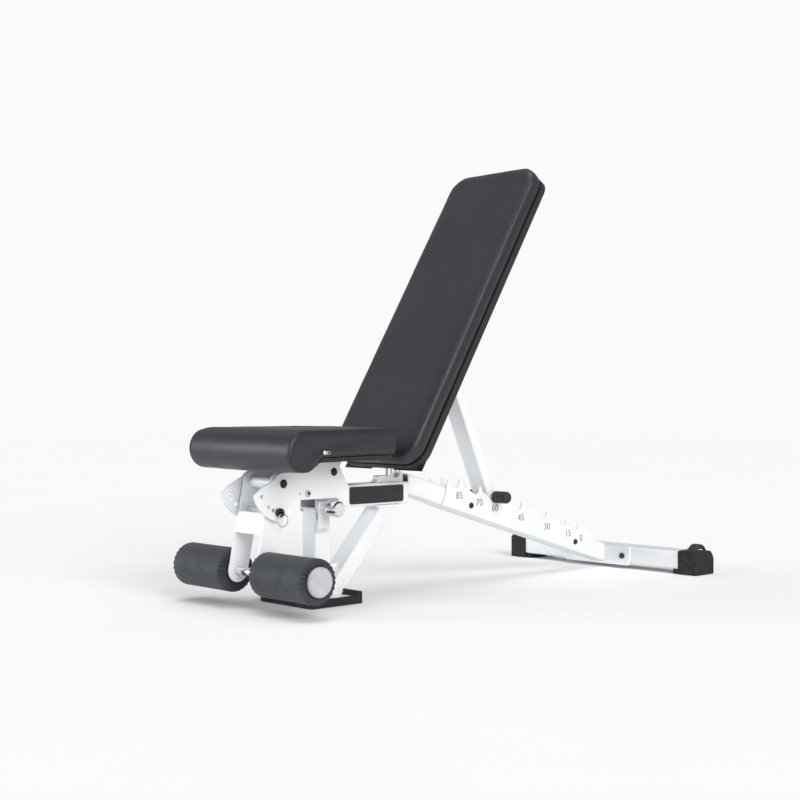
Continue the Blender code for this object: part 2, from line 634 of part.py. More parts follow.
def make_wheel(side, name, finish):
    """Transport wheel, its axle bolt and its U bracket behind the cross tube."""
    centre = Vector((WHEEL_X, side * WHEEL_Y, WHEEL_Z))
    along = (0.0, 1.0, 0.0)
    inner_face = WHEEL_WIDTH / 2 + 0.0025
    outer_face = inner_face + WHEEL_ARM_THICKNESS
    base = REAR_TUBE_REAR + GAP
    arm = rounded_outline(((base, 0.020, 0.0), (WHEEL_X - 0.006, 0.026, 0.004),
                           (WHEEL_X + 0.013, WHEEL_Z - 0.010, 0.008),
                           (WHEEL_X + 0.013, WHEEL_Z + 0.010, 0.008),
                           (WHEEL_X - 0.006, REAR_TUBE_TOP - 0.002, 0.004),
                           (base, REAR_TUBE_TOP - 0.002, 0.0)))
    bracket = prism("wheel_bracket_" + name, arm, "Y", side * WHEEL_Y - outer_face,
                    side * WHEEL_Y + outer_face, finish["white_paint"])
    well = block("wheel_well_" + name,
                 (base + WHEEL_ARM_THICKNESS, side * WHEEL_Y - inner_face, 0.0),
                 (WHEEL_X * 1.1, side * WHEEL_Y + inner_face, REAR_TUBE_TOP * 2), None)
    combine(bracket, well, "DIFFERENCE")
    drill(bracket, centre, along, WHEEL_AXLE_RADIUS + GAP, -0.05, 0.05)
    head = outer_face + GAP
    profile = ((0.0, -head - 0.004), (0.0060, -head - 0.004), (0.0080, -head - 0.002),
               (0.0080, -head), (WHEEL_AXLE_RADIUS, -head), (WHEEL_AXLE_RADIUS, head),
               (0.0080, head), (0.0080, head + 0.002), (0.0060, head + 0.004), (0.0, head + 0.004))
    turned("wheel_axle_" + name, profile, centre, along, BOLT_SIDES, finish["black_bolt"])
    half = WHEEL_WIDTH / 2
    bore = running_radius(WHEEL_AXLE_RADIUS)
    tyre = ((bore, -half), (0.011, -half), (0.013, -half + 0.003), (0.023, -half + 0.003),
            (0.025, -half), (WHEEL_RADIUS - 0.003, -half), (WHEEL_RADIUS, -half + 0.003),
            (WHEEL_RADIUS, half - 0.003), (WHEEL_RADIUS - 0.003, half), (0.025, half),
            (0.023, half - 0.003), (0.013, half - 0.003), (0.011, half), (bore, half))
    turned("transport_wheel_" + name, tyre, centre, along, BOLT_SIDES, finish["rubber"], centre)


# ----------------------------------------------------------- side (fan) plates
def side_plate_outline():
    """Fan plate seen from the side: (x, z) points."""
    pivot = (ARM_PIVOT.x, ARM_PIVOT.z)
    rim = ARM_HOLE_CIRCLE + 0.0212
    lowest = (ARM_PIN.x, ARM_PIN.z)
    last = 270.0 - math.degrees(ARM_LEAN)
    points = arc(pivot, rim, 196.0, last - 2.0, 12)
    points += arc(lowest, rim - ARM_HOLE_CIRCLE, last + 8.0, last + 84.0, 5)
    points += [(-0.1050, ARM_PIVOT.z - 0.0435), (-0.0760, 0.2535)]
    points += fillet((-0.0760, 0.2535), (0.0430, 0.2535), (0.0430, 0.2342), 0.006)
    points += fillet((0.0430, 0.2535), (0.0430, 0.2342), (0.0758, 0.2342), 0.006)
    points += fillet((0.0430, 0.2342), (0.0758, 0.2342), (0.0758, 0.2800), 0.006)
    points += fillet((0.0758, 0.2342), (0.0758, 0.2800), (0.0530, 0.2960), 0.006)
    points += fillet((0.0530, 0.2960), (0.0411, 0.3388), (-0.0116, 0.3388), 0.006)
    points += fillet((0.0411, 0.3388), (-0.0140, 0.3388), (-0.0460, 0.3185), 0.010)
    points += [(-0.0460, 0.3185)]
    points += arc(pivot, 0.0256, 84.0, 150.0, 5)
    points += [(-0.1862, 0.2864)]
    return points


def make_side_plates(finish):
    """Two plates that carry the arm and seat pivots and the arm-locking holes."""
    for side, name in SIDES:
        low, high = sorted((side * SIDE_PLATE_INNER, side * SIDE_PLATE_OUTER))
        plate = prism("side_plate_" + name, side_plate_outline(), "Y", low, high,
                      finish["white_paint"])
        y_axis = (0.0, 1.0, 0.0)
        for centre in (ARM_PIVOT, SEAT_PIVOT):
            drill(plate, centre, y_axis, PIVOT_BOLT_RADIUS + GAP, -0.1, 0.1)
        drill(plate, CARRIER_BOLT, y_axis, 0.0050 + GAP, -0.1, 0.1, 16)
        drill(plate, CARRIER_BOLT + Vector((-0.0225, 0.0, 0.0)), y_axis, 0.0028, -0.1, 0.1, 12)
        for i in range(ARM_HOLE_COUNT):
            angle = -math.pi / 2 - ARM_LEAN - i * ARM_HOLE_STEP
            spot = ARM_PIVOT + Vector((math.cos(angle), 0.0, math.sin(angle))) * ARM_HOLE_CIRCLE
            drill(plate, spot, y_axis, LOCK_HOLE_RADIUS, -0.1, 0.1, 12)


def make_carrier(finish):
    """Cross tube and neck that join the side plates to the spine, and its bolt."""
    centre = Vector((CARRIER_BOLT.x, 0.0, CARRIER_BOTTOM + CARRIER_HEIGHT / 2))
    outer, inner = box_profiles(CARRIER_DEPTH, CARRIER_HEIGHT, TUBE_WALL, 0.004)
    along = Vector((0.0, 1.0, 0.0))
    half = SIDE_PLATE_INNER - GAP
    planes = ((Vector((0.0, -half, 0.0)), along), (Vector((0.0, half, 0.0)), along))
    carrier = tube("front_carrier", outer, inner, centre, Vector((1.0, 0.0, 0.0)), along,
                   planes, finish["white_paint"])
    neck = block("carrier_neck",
                 (CARRIER_BOLT.x + CARRIER_DEPTH / 2 - TUBE_WALL / 2, -SPINE_HALF + 0.002,
                  CARRIER_BOTTOM + 0.004),
                 (FRONT_SPINE_START - GAP, SPINE_HALF - 0.002, CARRIER_BOTTOM + CARRIER_HEIGHT - 0.004),
                 None)
    combine(carrier, neck, "UNION")
    head = SIDE_PLATE_OUTER + GAP
    profile = ((0.0, -head - 0.0055), (0.0070, -head - 0.0055), (0.0082, -head - 0.0045),
               (0.0082, -head), (0.0050, -head), (0.0050, head), (0.0082, head),
               (0.0082, head + 0.0045), (0.0070, head + 0.0055), (0.0, head + 0.0055))
    turned("carrier_bolt", profile, CARRIER_BOLT, (0.0, 1.0, 0.0), 6, finish["zinc"])


def button_bolt(name, centre, radius, head_radius, half, finish):
    """Through bolt with a round button head outside each plate."""
    profile = ((0.0, -half - 0.0050), (head_radius * 0.60, -half - 0.0048),
               (head_radius, -half - 0.0014), (head_radius, -half), (radius, -half),
               (radius, half), (head_radius, half), (head_radius, half + 0.0014),
               (head_radius * 0.60, half + 0.0048), (0.0, half + 0.0050))
    turned(name, profile, centre, (0.0, 1.0, 0.0), BOLT_SIDES, finish)


def make_pivot_bolts(finish):
    """Arm and seat pivot bolts, with the spacers that centre what turns on them."""
    half = SIDE_PLATE_OUTER + GAP
    button_bolt("arm_pivot_bolt", ARM_PIVOT, PIVOT_BOLT_RADIUS, 0.0102, half,
                finish["black_bolt"])
    button_bolt("seat_pivot_bolt", SEAT_PIVOT, PIVOT_BOLT_RADIUS, 0.0096, half,
                finish["black_bolt"])
    bore = PIVOT_BOLT_RADIUS + GAP
    for side, name in SIDES:
        for label, centre, inside, radius in (("arm_pivot_washer_", ARM_PIVOT, ARM_HALF_WIDTH, 0.0125),
                                              ("seat_pivot_spacer_", SEAT_PIVOT, SECTOR_OUTER, 0.0095)):
            low, high = sorted((side * (inside + SWING_GAP), side * (SIDE_PLATE_INNER - GAP)))
            turned(label + name, sleeve_profile(bore, radius, low, high), centre,
                   (0.0, 1.0, 0.0), BOLT_SIDES, finish["zinc"])


# -------------------------------------------------------------- leg-roller arm
def make_leg_arm(finish):
    """Bent channel with a front web, pivot sleeve and locking-pin sleeve."""
    top = (ARM_PIVOT.x, ARM_PIVOT.z)
    end = (ARM_AXLE.x, ARM_AXLE.z)
    outline = capsule(top, ARM_TOP_RADIUS, end, ARM_END_RADIUS)
    y_axis = (0.0, 1.0, 0.0)
    arm = prism("leg_arm", outline, "Y", -ARM_HALF_WIDTH, ARM_HALF_WIDTH,
                finish["white_paint"], ARM_PIVOT)
    bevel = arm.modifiers.new("bend_radius", "BEVEL")
    bevel.width = 0.0025
    bevel.segments = 1
    bevel.limit_method = "ANGLE"
    bevel.angle_limit = math.radians(50.0)
    inside = ARM_HALF_WIDTH - ARM_PLATE
    taper = (ARM_TOP_RADIUS - ARM_END_RADIUS) / ARM_LENGTH
    far = ARM_LENGTH + ARM_END_RADIUS * 2
    front = ARM_TOP_RADIUS - taper * (ARM_WEB_START + ARM_WEB_END) / 2 - ARM_PLATE
    stretches = ((-ARM_TOP_RADIUS * 2, ARM_WEB_START, -ARM_TOP_RADIUS * 2),
                 (ARM_WEB_START - 0.001, ARM_WEB_END + 0.001, -front),
                 (ARM_WEB_END, far, -ARM_TOP_RADIUS * 2))
    for i, (start, stop, front_edge) in enumerate(stretches):
        corners = ((start, front_edge), (stop, front_edge), (stop, 0.08), (start, 0.08))
        hollow = [ARM_PIVOT + ARM_DOWN * s + ARM_BACK * b for s, b in corners]
        cutter = prism("arm_hollow_" + str(i), [(p.x, p.z) for p in hollow], "Y", -inside,
                       inside, None)
        combine(arm, cutter, "DIFFERENCE")
    reach = inside + ARM_PLATE / 2
    for label, spot, radius in (("pivot", ARM_PIVOT, ARM_SLEEVE_RADIUS), ("pin", ARM_PIN, 0.0085)):
        sleeve = turned("arm_sleeve_" + label, rod_profile(radius, -reach, reach), spot,
                        y_axis, BOLT_SIDES, None)
        combine(arm, sleeve, "UNION")
    drill(arm, ARM_PIVOT, y_axis, running_radius(PIVOT_BOLT_RADIUS), -0.1, 0.1)
    drill(arm, ARM_PIN, y_axis, LOCK_HOLE_RADIUS, -0.1, 0.1, 12)
    drill(arm, ARM_AXLE, y_axis, ROLLER_AXLE_RADIUS + GAP, -0.1, 0.1)


def make_rollers(finish):
    """Chrome axle, two foam rollers and their end caps."""
    y_axis = (0.0, 1.0, 0.0)
    tip = ROLLER_OUTER - 0.003
    turned("roller_axle", rod_profile(ROLLER_AXLE_RADIUS, -tip, tip), ARM_AXLE, y_axis, BOLT_SIDES,
           finish["chrome"], ARM_PIVOT)
    bore = running_radius(ROLLER_AXLE_RADIUS)
    edge = 0.016
    for side, name in SIDES:
        middle = side * (ROLLER_INNER + ROLLER_OUTER) / 2
        half = (ROLLER_OUTER - ROLLER_INNER) / 2
        inner_end = [(ROLLER_RADIUS - edge + edge * math.sin(math.radians(a)),
                      -half + edge - edge * math.cos(math.radians(a))) for a in (0, 45, 90)]
        outer_end = [(radius, -position) for radius, position in reversed(inner_end)]
        profile = [(bore, -half)] + inner_end + outer_end + [(bore, half)]
        centre = ARM_AXLE + Vector((0.0, middle, 0.0))
        turned("foam_roller_" + name, profile, centre, y_axis, BOLT_SIDES, finish["foam"], ARM_AXLE)
        start = side * (ROLLER_OUTER + GAP)
        stop = side * (ROLLER_OUTER + GAP + ROLLER_CAP_THICKNESS)
        cap = ((0.0, start), (ROLLER_CAP_RADIUS, start), (ROLLER_CAP_RADIUS, stop - side * 0.0030),
               (ROLLER_CAP_RADIUS - 0.003, stop), (0.0, stop))
        turned("roller_cap_" + name, cap, ARM_AXLE, y_axis, 24, finish["cap_plastic"], ARM_AXLE)


def make_arm_pin(finish):
    """Locking pin for the arm, with a pull ring that hangs from its tongue."""
    tip = -ARM_HALF_WIDTH - PIN_TIP_GAP
    head = -SIDE_PLATE_OUTER - GAP
    face = head - 0.0105
    profile = ((0.0, tip), (PIN_SHAFT_RADIUS, tip), (PIN_SHAFT_RADIUS, head),
               (PIN_HEAD_RADIUS, head), (PIN_HEAD_RADIUS, face + 0.002),
               (PIN_HEAD_RADIUS - 0.002, face), (0.0, face))
    pin = turned("arm_pin", profile, ARM_PIN, (0.0, 1.0, 0.0), BOLT_SIDES, finish["black_bolt"], ARM_PIN)
    hole = ring_hinge()
    tongue = prism("pin_tongue", rounded_outline(((face + 0.002, hole.z - 0.0045, 0.0),
                                                  (face + 0.002, hole.z + 0.0045, 0.0),
                                                  (hole.y - 0.0045, hole.z + 0.0045, 0.003),
                                                  (hole.y - 0.0045, hole.z - 0.0045, 0.003))),
                   "X", ARM_PIN.x - 0.0016, ARM_PIN.x + 0.0016, None)
    combine(pin, tongue, "UNION")
    drill(pin, hole, (1.0, 0.0, 0.0), RING_WIRE + 0.0008, -0.006, 0.006, 16)
    ring_centre = hole - Vector((0.0, 0.0, RING_RADIUS))
    wire = [(RING_RADIUS + RING_WIRE * math.cos(math.radians(a)),
             RING_WIRE * math.sin(math.radians(a))) for a in range(0, 360, 60)]
    turned("pull_ring", wire, ring_centre, (0.0, 1.0, 0.0), 20, finish["zinc"], hole)


def ring_hinge():
    """Centre of the hole that the pull ring swings in."""
    return Vector((ARM_PIN.x, -SIDE_PLATE_OUTER - GAP - 0.0105 - 0.0045, ARM_PIN.z - 0.0020))


# ------------------------------------------------------------------------ seat
def make_seat(finish):
    """Seat foam with its front roll, the board under it and the sector bracket."""
    half = SEAT_FRONT_WIDTH / 2
    roll = (SEAT_ROLL.x, SEAT_ROLL.z)
    rear = SEAT_REAR
    board_front = SEAT_ROLL.x + 0.0520
    outline = [(rear - 0.004, SEAT_FOAM_BOTTOM), (rear, SEAT_FOAM_BOTTOM + 0.004)]
    outline += fillet((rear, SEAT_FOAM_BOTTOM), (rear, SEAT_TOP), (0.0, SEAT_TOP), 0.014)
    outline += arc(roll, SEAT_ROLL_RADIUS, 90.0, 318.0, 12)
    outline += [(board_front, SEAT_FOAM_BOTTOM)]
    pad = prism_bmesh(outline, "Y", -half, half)
    for vertex in pad.verts:
        vertex.co.y = math.copysign(seat_half_width(vertex.co.x), vertex.co.y)
    soften(add_object("seat_pad", pad, finish["vinyl"], SEAT_PIVOT), 0.012)
    corners = []
    for x, side in ((board_front + 0.004, -1), (rear - SEAT_BOARD_INSET, -1),
                    (rear - SEAT_BOARD_INSET, 1), (board_front + 0.004, 1)):
        corners.append((x, side * (seat_half_width(x) - SEAT_BOARD_INSET), 0.012))
    prism("seat_board", rounded_outline(corners), "Z", SEAT_BOARD_BOTTOM, SEAT_BOARD_TOP,
          finish["board"], SEAT_PIVOT)
    make_seat_bracket(finish)
    make_seat_pin(finish)


def seat_half_width(x):
    """Half width of the seat at a distance along it, narrowing behind the roll."""
    share = min(max((x - SEAT_ROLL.x) / (SEAT_REAR - SEAT_ROLL.x), 0.0), 1.0)
    return (SEAT_FRONT_WIDTH + (SEAT_REAR_WIDTH - SEAT_FRONT_WIDTH) * share) / 2


def soften(item, width):
    """Round the long edges of a foam solid."""
    bevel = item.modifiers.new("soft_edges", "BEVEL")
    bevel.width = width
    bevel.segments = 2
    bevel.limit_method = "ANGLE"
    bevel.angle_limit = math.radians(50.0)


def make_seat_bracket(finish):
    """Inverted channel under the seat: two sector plates joined by a top plate."""
    pivot = (SEAT_PIVOT.x, SEAT_PIVOT.z)
    reach = SEAT_PIN_OFFSET.length
    pin_angle = math.degrees(math.atan2(SEAT_PIN_OFFSET.z, SEAT_PIN_OFFSET.x)) % 360.0
    last_angle = pin_angle + math.degrees(SEAT_HOLE_STEP) * (SEAT_HOLE_COUNT - 1)
    top = SEAT_BOARD_BOTTOM - GAP
    outline = arc(pivot, reach + SECTOR_RIM, pin_angle - 8.0, last_angle + 8.0, 10)
    outline += [(SEAT_PIVOT.x + 0.0265, SEAT_PIVOT.z - 0.0250),
                (SEAT_PIVOT.x + 0.0470, SEAT_PIVOT.z + 0.0150), (SEAT_PIVOT.x + 0.0570, top),
                (SEAT_PIVOT.x - 0.0580, top), (SEAT_PIVOT.x - 0.0480, SEAT_PIVOT.z + 0.0150),
                (SEAT_PIVOT.x - 0.0200, SEAT_PIVOT.z - 0.0250)]
    bracket = prism("seat_bracket", outline, "Y", -SECTOR_OUTER, SECTOR_OUTER,
                    finish["white_paint"], SEAT_PIVOT)
    hollow = block("sector_hollow", (-0.2, -SECTOR_INNER, 0.0), (0.3, SECTOR_INNER, top - SECTOR_PLATE),
                   None)
    combine(bracket, hollow, "DIFFERENCE")
    reach_y = SECTOR_INNER + SECTOR_PLATE / 2
    sleeve = turned("seat_sleeve", rod_profile(0.010, -reach_y, reach_y), SEAT_PIVOT,
                    (0.0, 1.0, 0.0), BOLT_SIDES, None)
    combine(bracket, sleeve, "UNION")
    drill(bracket, SEAT_PIVOT, (0.0, 1.0, 0.0), running_radius(PIVOT_BOLT_RADIUS), -0.1, 0.1)
    for i in range(SEAT_HOLE_COUNT):
        angle = math.radians(pin_angle) + SEAT_HOLE_STEP * i
        spot = SEAT_PIVOT + Vector((math.cos(angle), 0.0, math.sin(angle))) * reach
        drill(bracket, spot, (0.0, 1.0, 0.0), LOCK_HOLE_RADIUS, -0.1, 0.1, 12)


def make_seat_pin(finish):
    """Spring pin for the seat: a tab and barrel on the post, and the sliding knob."""
    inner = -SECTOR_OUTER - SWING_GAP
    face = inner - SEAT_PIN_TAB
    outline = ((-POST_SIDE / 2 - GAP, SEAT_PIN.z - 0.060), (-POST_SIDE / 2 - GAP, SEAT_PIN.z - 0.032),
               (inner, SEAT_PIN.z - 0.026), (inner, SEAT_PIN.z + 0.016),
               (face, SEAT_PIN.z + 0.016), (face, SEAT_PIN.z - 0.048))
    housing = prism("seat_pin_housing", outline, "X", SEAT_PIN.x - 0.0148, SEAT_PIN.x + 0.0172,
                    finish["white_paint"])
    y_axis = (0.0, 1.0, 0.0)
    mouth = face - SEAT_BARREL_LENGTH
    barrel = turned("seat_barrel", ((0.0, face + 0.002), (SEAT_BARREL_RADIUS, face + 0.002),
                                    (SEAT_BARREL_RADIUS, mouth), (0.0, mouth)),
                    SEAT_PIN, y_axis, BOLT_SIDES, None)
    combine(housing, barrel, "UNION")
    drill(housing, SEAT_PIN, y_axis, PIN_SHAFT_RADIUS + GAP, mouth - 0.01, 0.0, 20)
    knob = mouth - 0.0010
    end = knob - SEAT_KNOB_LENGTH
    profile = ((0.0, inner), (PIN_SHAFT_RADIUS, inner), (PIN_SHAFT_RADIUS, knob),
               (SEAT_KNOB_RADIUS * 0.62, knob), (SEAT_KNOB_RADIUS * 0.66, knob - 0.0080),
               (SEAT_KNOB_RADIUS - 0.002, knob - 0.0120), (SEAT_KNOB_RADIUS, knob - 0.0140),
               (SEAT_KNOB_RADIUS, end + 0.0040), (SEAT_KNOB_RADIUS - 0.0035, end), (0.0, end))
    turned("seat_pin", profile, SEAT_PIN, y_axis, 20, finish["chrome"], SEAT_PIN)


# ------------------------------------------------------------------------ back
def pad_prism(name, outline, low, high, material):
    """Outline (across, up) extruded into the back pad's thickness."""
    bm = bmesh.new()
    face = bm.faces.new([bm.verts.new(pad_point(up, low, y)) for y, up in outline])
    extruded = bmesh.ops.extrude_face_region(bm, geom=[face])
    moved = [item for item in extruded["geom"] if isinstance(item, bmesh.types.BMVert)]
    bmesh.ops.translate(bm, verts=moved, vec=PAD_IN * (high - low))
    return add_object(name, bm, material, BACK_PIVOT)


def make_back_pad(finish):
    """Foam, the board behind it and the steel plate at its lower corners."""
    half = PAD_WIDTH / 2
    foam = pad_prism("back_pad", rounded_rectangle((-half, 0.0), (half, BACK_LENGTH), BACK_CORNER, 6),
                     0.0, BACK_FOAM, finish["vinyl"])
    soften(foam, 0.007)
    inset = 0.003
    pad_prism("back_board", rounded_rectangle((-half + inset, inset),
                                              (half - inset, BACK_LENGTH - inset),
                                              BACK_CORNER - inset, 6),
              BOARD_FRONT, BOARD_BACK, finish["board"])
    clear = HINGE_HALF_WIDTH * 4
    outer = half - 0.012
    outline = ((-outer, 0.001), (-clear, 0.001), (-clear, 0.065), (clear, 0.065), (clear, 0.001),
               (outer, 0.001), (outer, 0.080), (-outer, 0.080))
    pad_prism("back_bottom_plate", outline, BOARD_BACK + GAP, BOARD_BACK + GAP + 0.003,
              finish["board"])


def make_back_rails(finish):
    """Angle rails on the board that carry the back hinge and the strut pivot."""
    front = BOARD_BACK + GAP * 2 + 0.003
    strut_up = BACK_BELOW_PIVOT + STRUT_PIVOT_UP
    strut_in = BOARD_BACK + STRUT_PIVOT_BEHIND
    hinge = (BACK_BELOW_PIVOT, BACK_PIVOT_BEHIND)
    boss = 0.0135
    strut_boss = STRUT_PIN_RADIUS + 0.010
    corners = [(0.090, front), (0.090, front + RAIL_DEPTH), (strut_up - 0.045, front + RAIL_DEPTH)]
    corners += arc((strut_up, strut_in), strut_boss, 150.0, 30.0, 8)
    corners += [(strut_up + 0.045, front + RAIL_DEPTH), (RAIL_LENGTH, front + RAIL_DEPTH * 0.6),
                (RAIL_LENGTH, front)]
    knuckle = arc(hinge, boss, 100.0, 268.0, 8)
    outline = [(0.0700, front)] + [point for point in reversed(knuckle)] + corners[1:]
    outline = [pad_point(up, into) for up, into in outline]
    for side, name in SIDES:
        low, high = sorted((side * RAIL_INNER, side * RAIL_OUTER))
        rail = prism("back_rail_" + name, [(p.x, p.z) for p in outline], "Y", low, high,
                     finish["white_paint"], BACK_PIVOT)
        flange_low, flange_high = sorted((side * (RAIL_INNER + 0.001), side * (RAIL_OUTER + RAIL_FLANGE)))
        corners = ((flange_low, 0.100), (flange_high, 0.100), (flange_high, RAIL_LENGTH - 0.010),
                   (flange_low, RAIL_LENGTH - 0.010))
        flange = pad_prism("rail_flange_" + name, corners, front + 0.0002, front + 0.0042, None)
        combine(rail, flange, "UNION")
        inner, outer = sorted((side * (HINGE_HALF_WIDTH + SWING_GAP), side * (RAIL_INNER + 0.002)))
        sleeve = turned("hinge_sleeve_" + name, ((0.0, inner), (0.0115, inner), (0.0115, outer),
                                                 (0.0, outer)), BACK_PIVOT, (0.0, 1.0, 0.0), BOLT_SIDES, None)
        combine(rail, sleeve, "UNION")
        drill(rail, BACK_PIVOT, (0.0, 1.0, 0.0), running_radius(HINGE_PIN_RADIUS), -0.1, 0.1)
        drill(rail, STRUT_TOP, (0.0, 1.0, 0.0), STRUT_PIN_RADIUS + GAP, -0.1, 0.1)
    button_bolt("strut_pivot_pin", STRUT_TOP, STRUT_PIN_RADIUS, 0.0125, RAIL_OUTER + GAP,
                finish["zinc"])


def make_hinge_bracket(finish):
    """Narrow channel on the front spine that carries the back hinge pin."""
    bottom = SPINE_TOP + GAP
    pivot = (BACK_PIVOT.x, BACK_PIVOT.z)
    rear = SPINE_BREAK - 0.0006
    outline = rounded_outline(((0.2120, bottom, 0.0), (rear, bottom, 0.0),
                               (rear, bottom + 0.0200, 0.004), (rear + 0.0035, bottom + 0.0290, 0.006)))
    outline += arc(pivot, 0.0130, -2.0, 190.0, 10)
    outline += [(BACK_PIVOT.x - 0.0145, bottom + 0.0165), (0.2250, bottom + 0.0165),
                (0.2215, bottom + 0.0140), (0.2205, bottom + 0.0070)]
    bracket = prism("hinge_bracket", outline, "Y", -HINGE_HALF_WIDTH, HINGE_HALF_WIDTH,
                    finish["white_paint"])
    inside = HINGE_HALF_WIDTH - HINGE_PLATE
    channel = block("hinge_channel", (0.2260, -inside, bottom + HINGE_PLATE),
                    (0.4000, inside, 0.4000), None)
    combine(bracket, channel, "DIFFERENCE")
    low = bottom + 0.0105
    window = rounded_rectangle((BACK_PIVOT.x - 0.0090, low), (BACK_PIVOT.x + 0.0160, low + 0.0270), 0.010)
    cutter = prism("hinge_window", window, "Y", -0.02, 0.02, None)
    combine(bracket, cutter, "DIFFERENCE")
    drill(bracket, BACK_PIVOT, (0.0, 1.0, 0.0), HINGE_PIN_RADIUS + GAP, -0.1, 0.1)
    button_bolt("back_hinge_pin", BACK_PIVOT, HINGE_PIN_RADIUS, 0.0100, RAIL_OUTER + SWING_GAP,
                finish["zinc"])


def make_strut(finish):
    """Ladder strut with its pivot sleeve, crossbar sleeve, crossbar and grips."""
    outer, inner = box_profiles(STRUT_WIDTH, STRUT_DEPTH, TUBE_WALL, 0.005)
    y_axis = Vector((0.0, 1.0, 0.0))
    planes = ((STRUT_TOP + STRUT_DOWN * 0.004, STRUT_DOWN),
              (CROSSBAR - STRUT_DOWN * 0.004, STRUT_DOWN))
    strut = tube("strut_tube", outer, inner, STRUT_TOP, y_axis, STRUT_DOWN, planes,
                 finish["white_paint"], STRUT_TOP)
    half = STRUT_WIDTH / 2
    for label, spot, radius in (("top", STRUT_TOP, 0.0145), ("foot", CROSSBAR, 0.0152)):
        sleeve = turned("strut_sleeve_" + label, rod_profile(radius, -half + 0.0002, half - 0.0002),
                        spot, y_axis, BOLT_SIDES, None)
        combine(strut, sleeve, "UNION")
    vent = CROSSBAR - STRUT_DOWN * 0.045
    drill(strut, vent, STRUT_DOWN.cross(y_axis), 0.0035, 0.0, STRUT_DEPTH, 12)
    drill(strut, STRUT_TOP, y_axis, running_radius(STRUT_PIN_RADIUS), -0.1, 0.1)
    drill(strut, CROSSBAR, y_axis, CROSSBAR_RADIUS + GAP, -0.1, 0.1)
    tip = GRIP_OUTER - 0.004
    turned("crossbar", rod_profile(CROSSBAR_RADIUS, -tip, tip), CROSSBAR, y_axis, BOLT_SIDES,
           finish["chrome"], STRUT_TOP)
    for side, name in SIDES:
        bore = CROSSBAR_RADIUS + GAP
        rim = GRIP_RADIUS
        profile = ((bore, side * GRIP_INNER), (rim - 0.001, side * GRIP_INNER),
                   (rim, side * (GRIP_INNER + 0.001)), (rim, side * (GRIP_OUTER - 0.006)),
                   (rim - 0.002, side * (GRIP_OUTER - 0.002)), (rim - 0.006, side * GRIP_OUTER),
                   (0.0, side * GRIP_OUTER), (0.0, side * (tip + GAP)), (bore, side * (tip + GAP)))
        turned("grip_" + name, profile, CROSSBAR, y_axis, BOLT_SIDES, finish["rubber"], STRUT_TOP)


# ---------------------------------------------------------------------- ladder
def notch_centres():
    """Crossbar seats down the slope, one for each back angle, from the linkage."""
    seat_height = (CROSSBAR - REAR_SPINE_START).dot(SLOPE_UP)
    arm = STRUT_TOP - BACK_PIVOT
    seats = []
    for angle in NOTCH_ANGLES:
        turn = math.radians(angle) - BACK_ANGLE
        if angle == 60.0:
            turn = 0.0
        top = BACK_PIVOT + Matrix.Rotation(-turn, 3, "Y") @ arm
        height = (top - REAR_SPINE_START).dot(SLOPE_UP) - seat_height
        along = (top - REAR_SPINE_START).dot(SLOPE_DOWN)
        seats.append((along + math.sqrt(STRUT_LENGTH ** 2 - height ** 2), seat_height))
    return seats


def ladder_outline():
    """Ladder plate seen from the side: (x, z) points, starting at its lower front."""
    top = REAR_SPINE_DEPTH
    land = top + LAND_HEIGHT
    tip = top + HOOK_HEIGHT
    slot = NOTCH_RADIUS
    upright = math.degrees(REAR_SPINE_SLOPE)
    start = slope_distance(LADDER_FRONT, 0.0)
    stop = slope_distance(LADDER_REAR, 0.0)
    points = [(stop, 0.0), (stop, top + 0.006), (stop - 0.006, top + 0.012)]
    for seat_along, seat_height in reversed(notch_centres()):
        along, height = seat_along + NOTCH_DRIFT, seat_height + NOTCH_LIFT
        wall = along + slot
        points += [(wall + HOOK_WIDTH + 0.012, land - 0.004), (wall + HOOK_WIDTH + 0.003, land + 0.003)]
        points += arc((wall + HOOK_WIDTH / 2 - HOOK_LEAN, tip - HOOK_WIDTH / 2), HOOK_WIDTH / 2,
                      15.0, 180.0 + upright, 6)
        points += arc((along, height), slot, upright, -110.0, 9)
        mouth = max(seat_along - NOTCH_MOUTH, start + LADDER_TIP)
        points += [(along - slot * 1.2, height - slot * 0.70), (mouth + 0.004, land - 0.0035),
                   (mouth - 0.003, land)]
    points += [(start + 0.0010, land - 0.004), (start + 0.004, top * 0.5),
               (start, 0.0)]
    return [slope_point(along, height) for along, height in points]


def make_ladder(finish):
    """Two notched plates bolted to the sides of the rear spine."""
    outline = [(p.x, p.z) for p in ladder_outline()]
    spots = []
    for x in LADDER_BOLT_X:
        spots.append(slope_point(slope_distance(x, LADDER_BOLT_ABOVE), LADDER_BOLT_ABOVE))
    y_axis = (0.0, 1.0, 0.0)
    for side, name in SIDES:
        low, high = sorted((side * LADDER_INNER, side * LADDER_OUTER))
        plate = prism("ladder_plate_" + name, outline, "Y", low, high, finish["white_paint"])
        for spot in spots:
            drill(plate, spot, y_axis, LADDER_BOLT_RADIUS + GAP, -0.1, 0.1)
    for name, spot in zip(("front", "rear"), spots):
        button_bolt("ladder_bolt_" + name, spot, LADDER_BOLT_RADIUS, 0.0080, LADDER_OUTER + GAP,
                    finish["black_bolt"])


# ------------------------------------------------------------------------ main
def main():
    for item in list(bpy.data.objects):
        bpy.data.objects.remove(item)
    finish = make_materials()
    make_rubber_foot(finish)
    make_base_plate(finish)
    make_upright(finish)
    make_brace(finish)
    make_spine(finish)
    make_label_plate(finish)
    make_rear_foot(finish)
    make_side_plates(finish)
    make_carrier(finish)
    make_pivot_bolts(finish)
    make_leg_arm(finish)
    make_rollers(finish)
    make_arm_pin(finish)
    make_seat(finish)
    make_hinge_bracket(finish)
    make_back_pad(finish)
    make_back_rails(finish)
    make_strut(finish)
    make_ladder(finish)


main()
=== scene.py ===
"""Looks for the adjustable weight bench: upholstery, finishes, markings, light and camera."""
import math

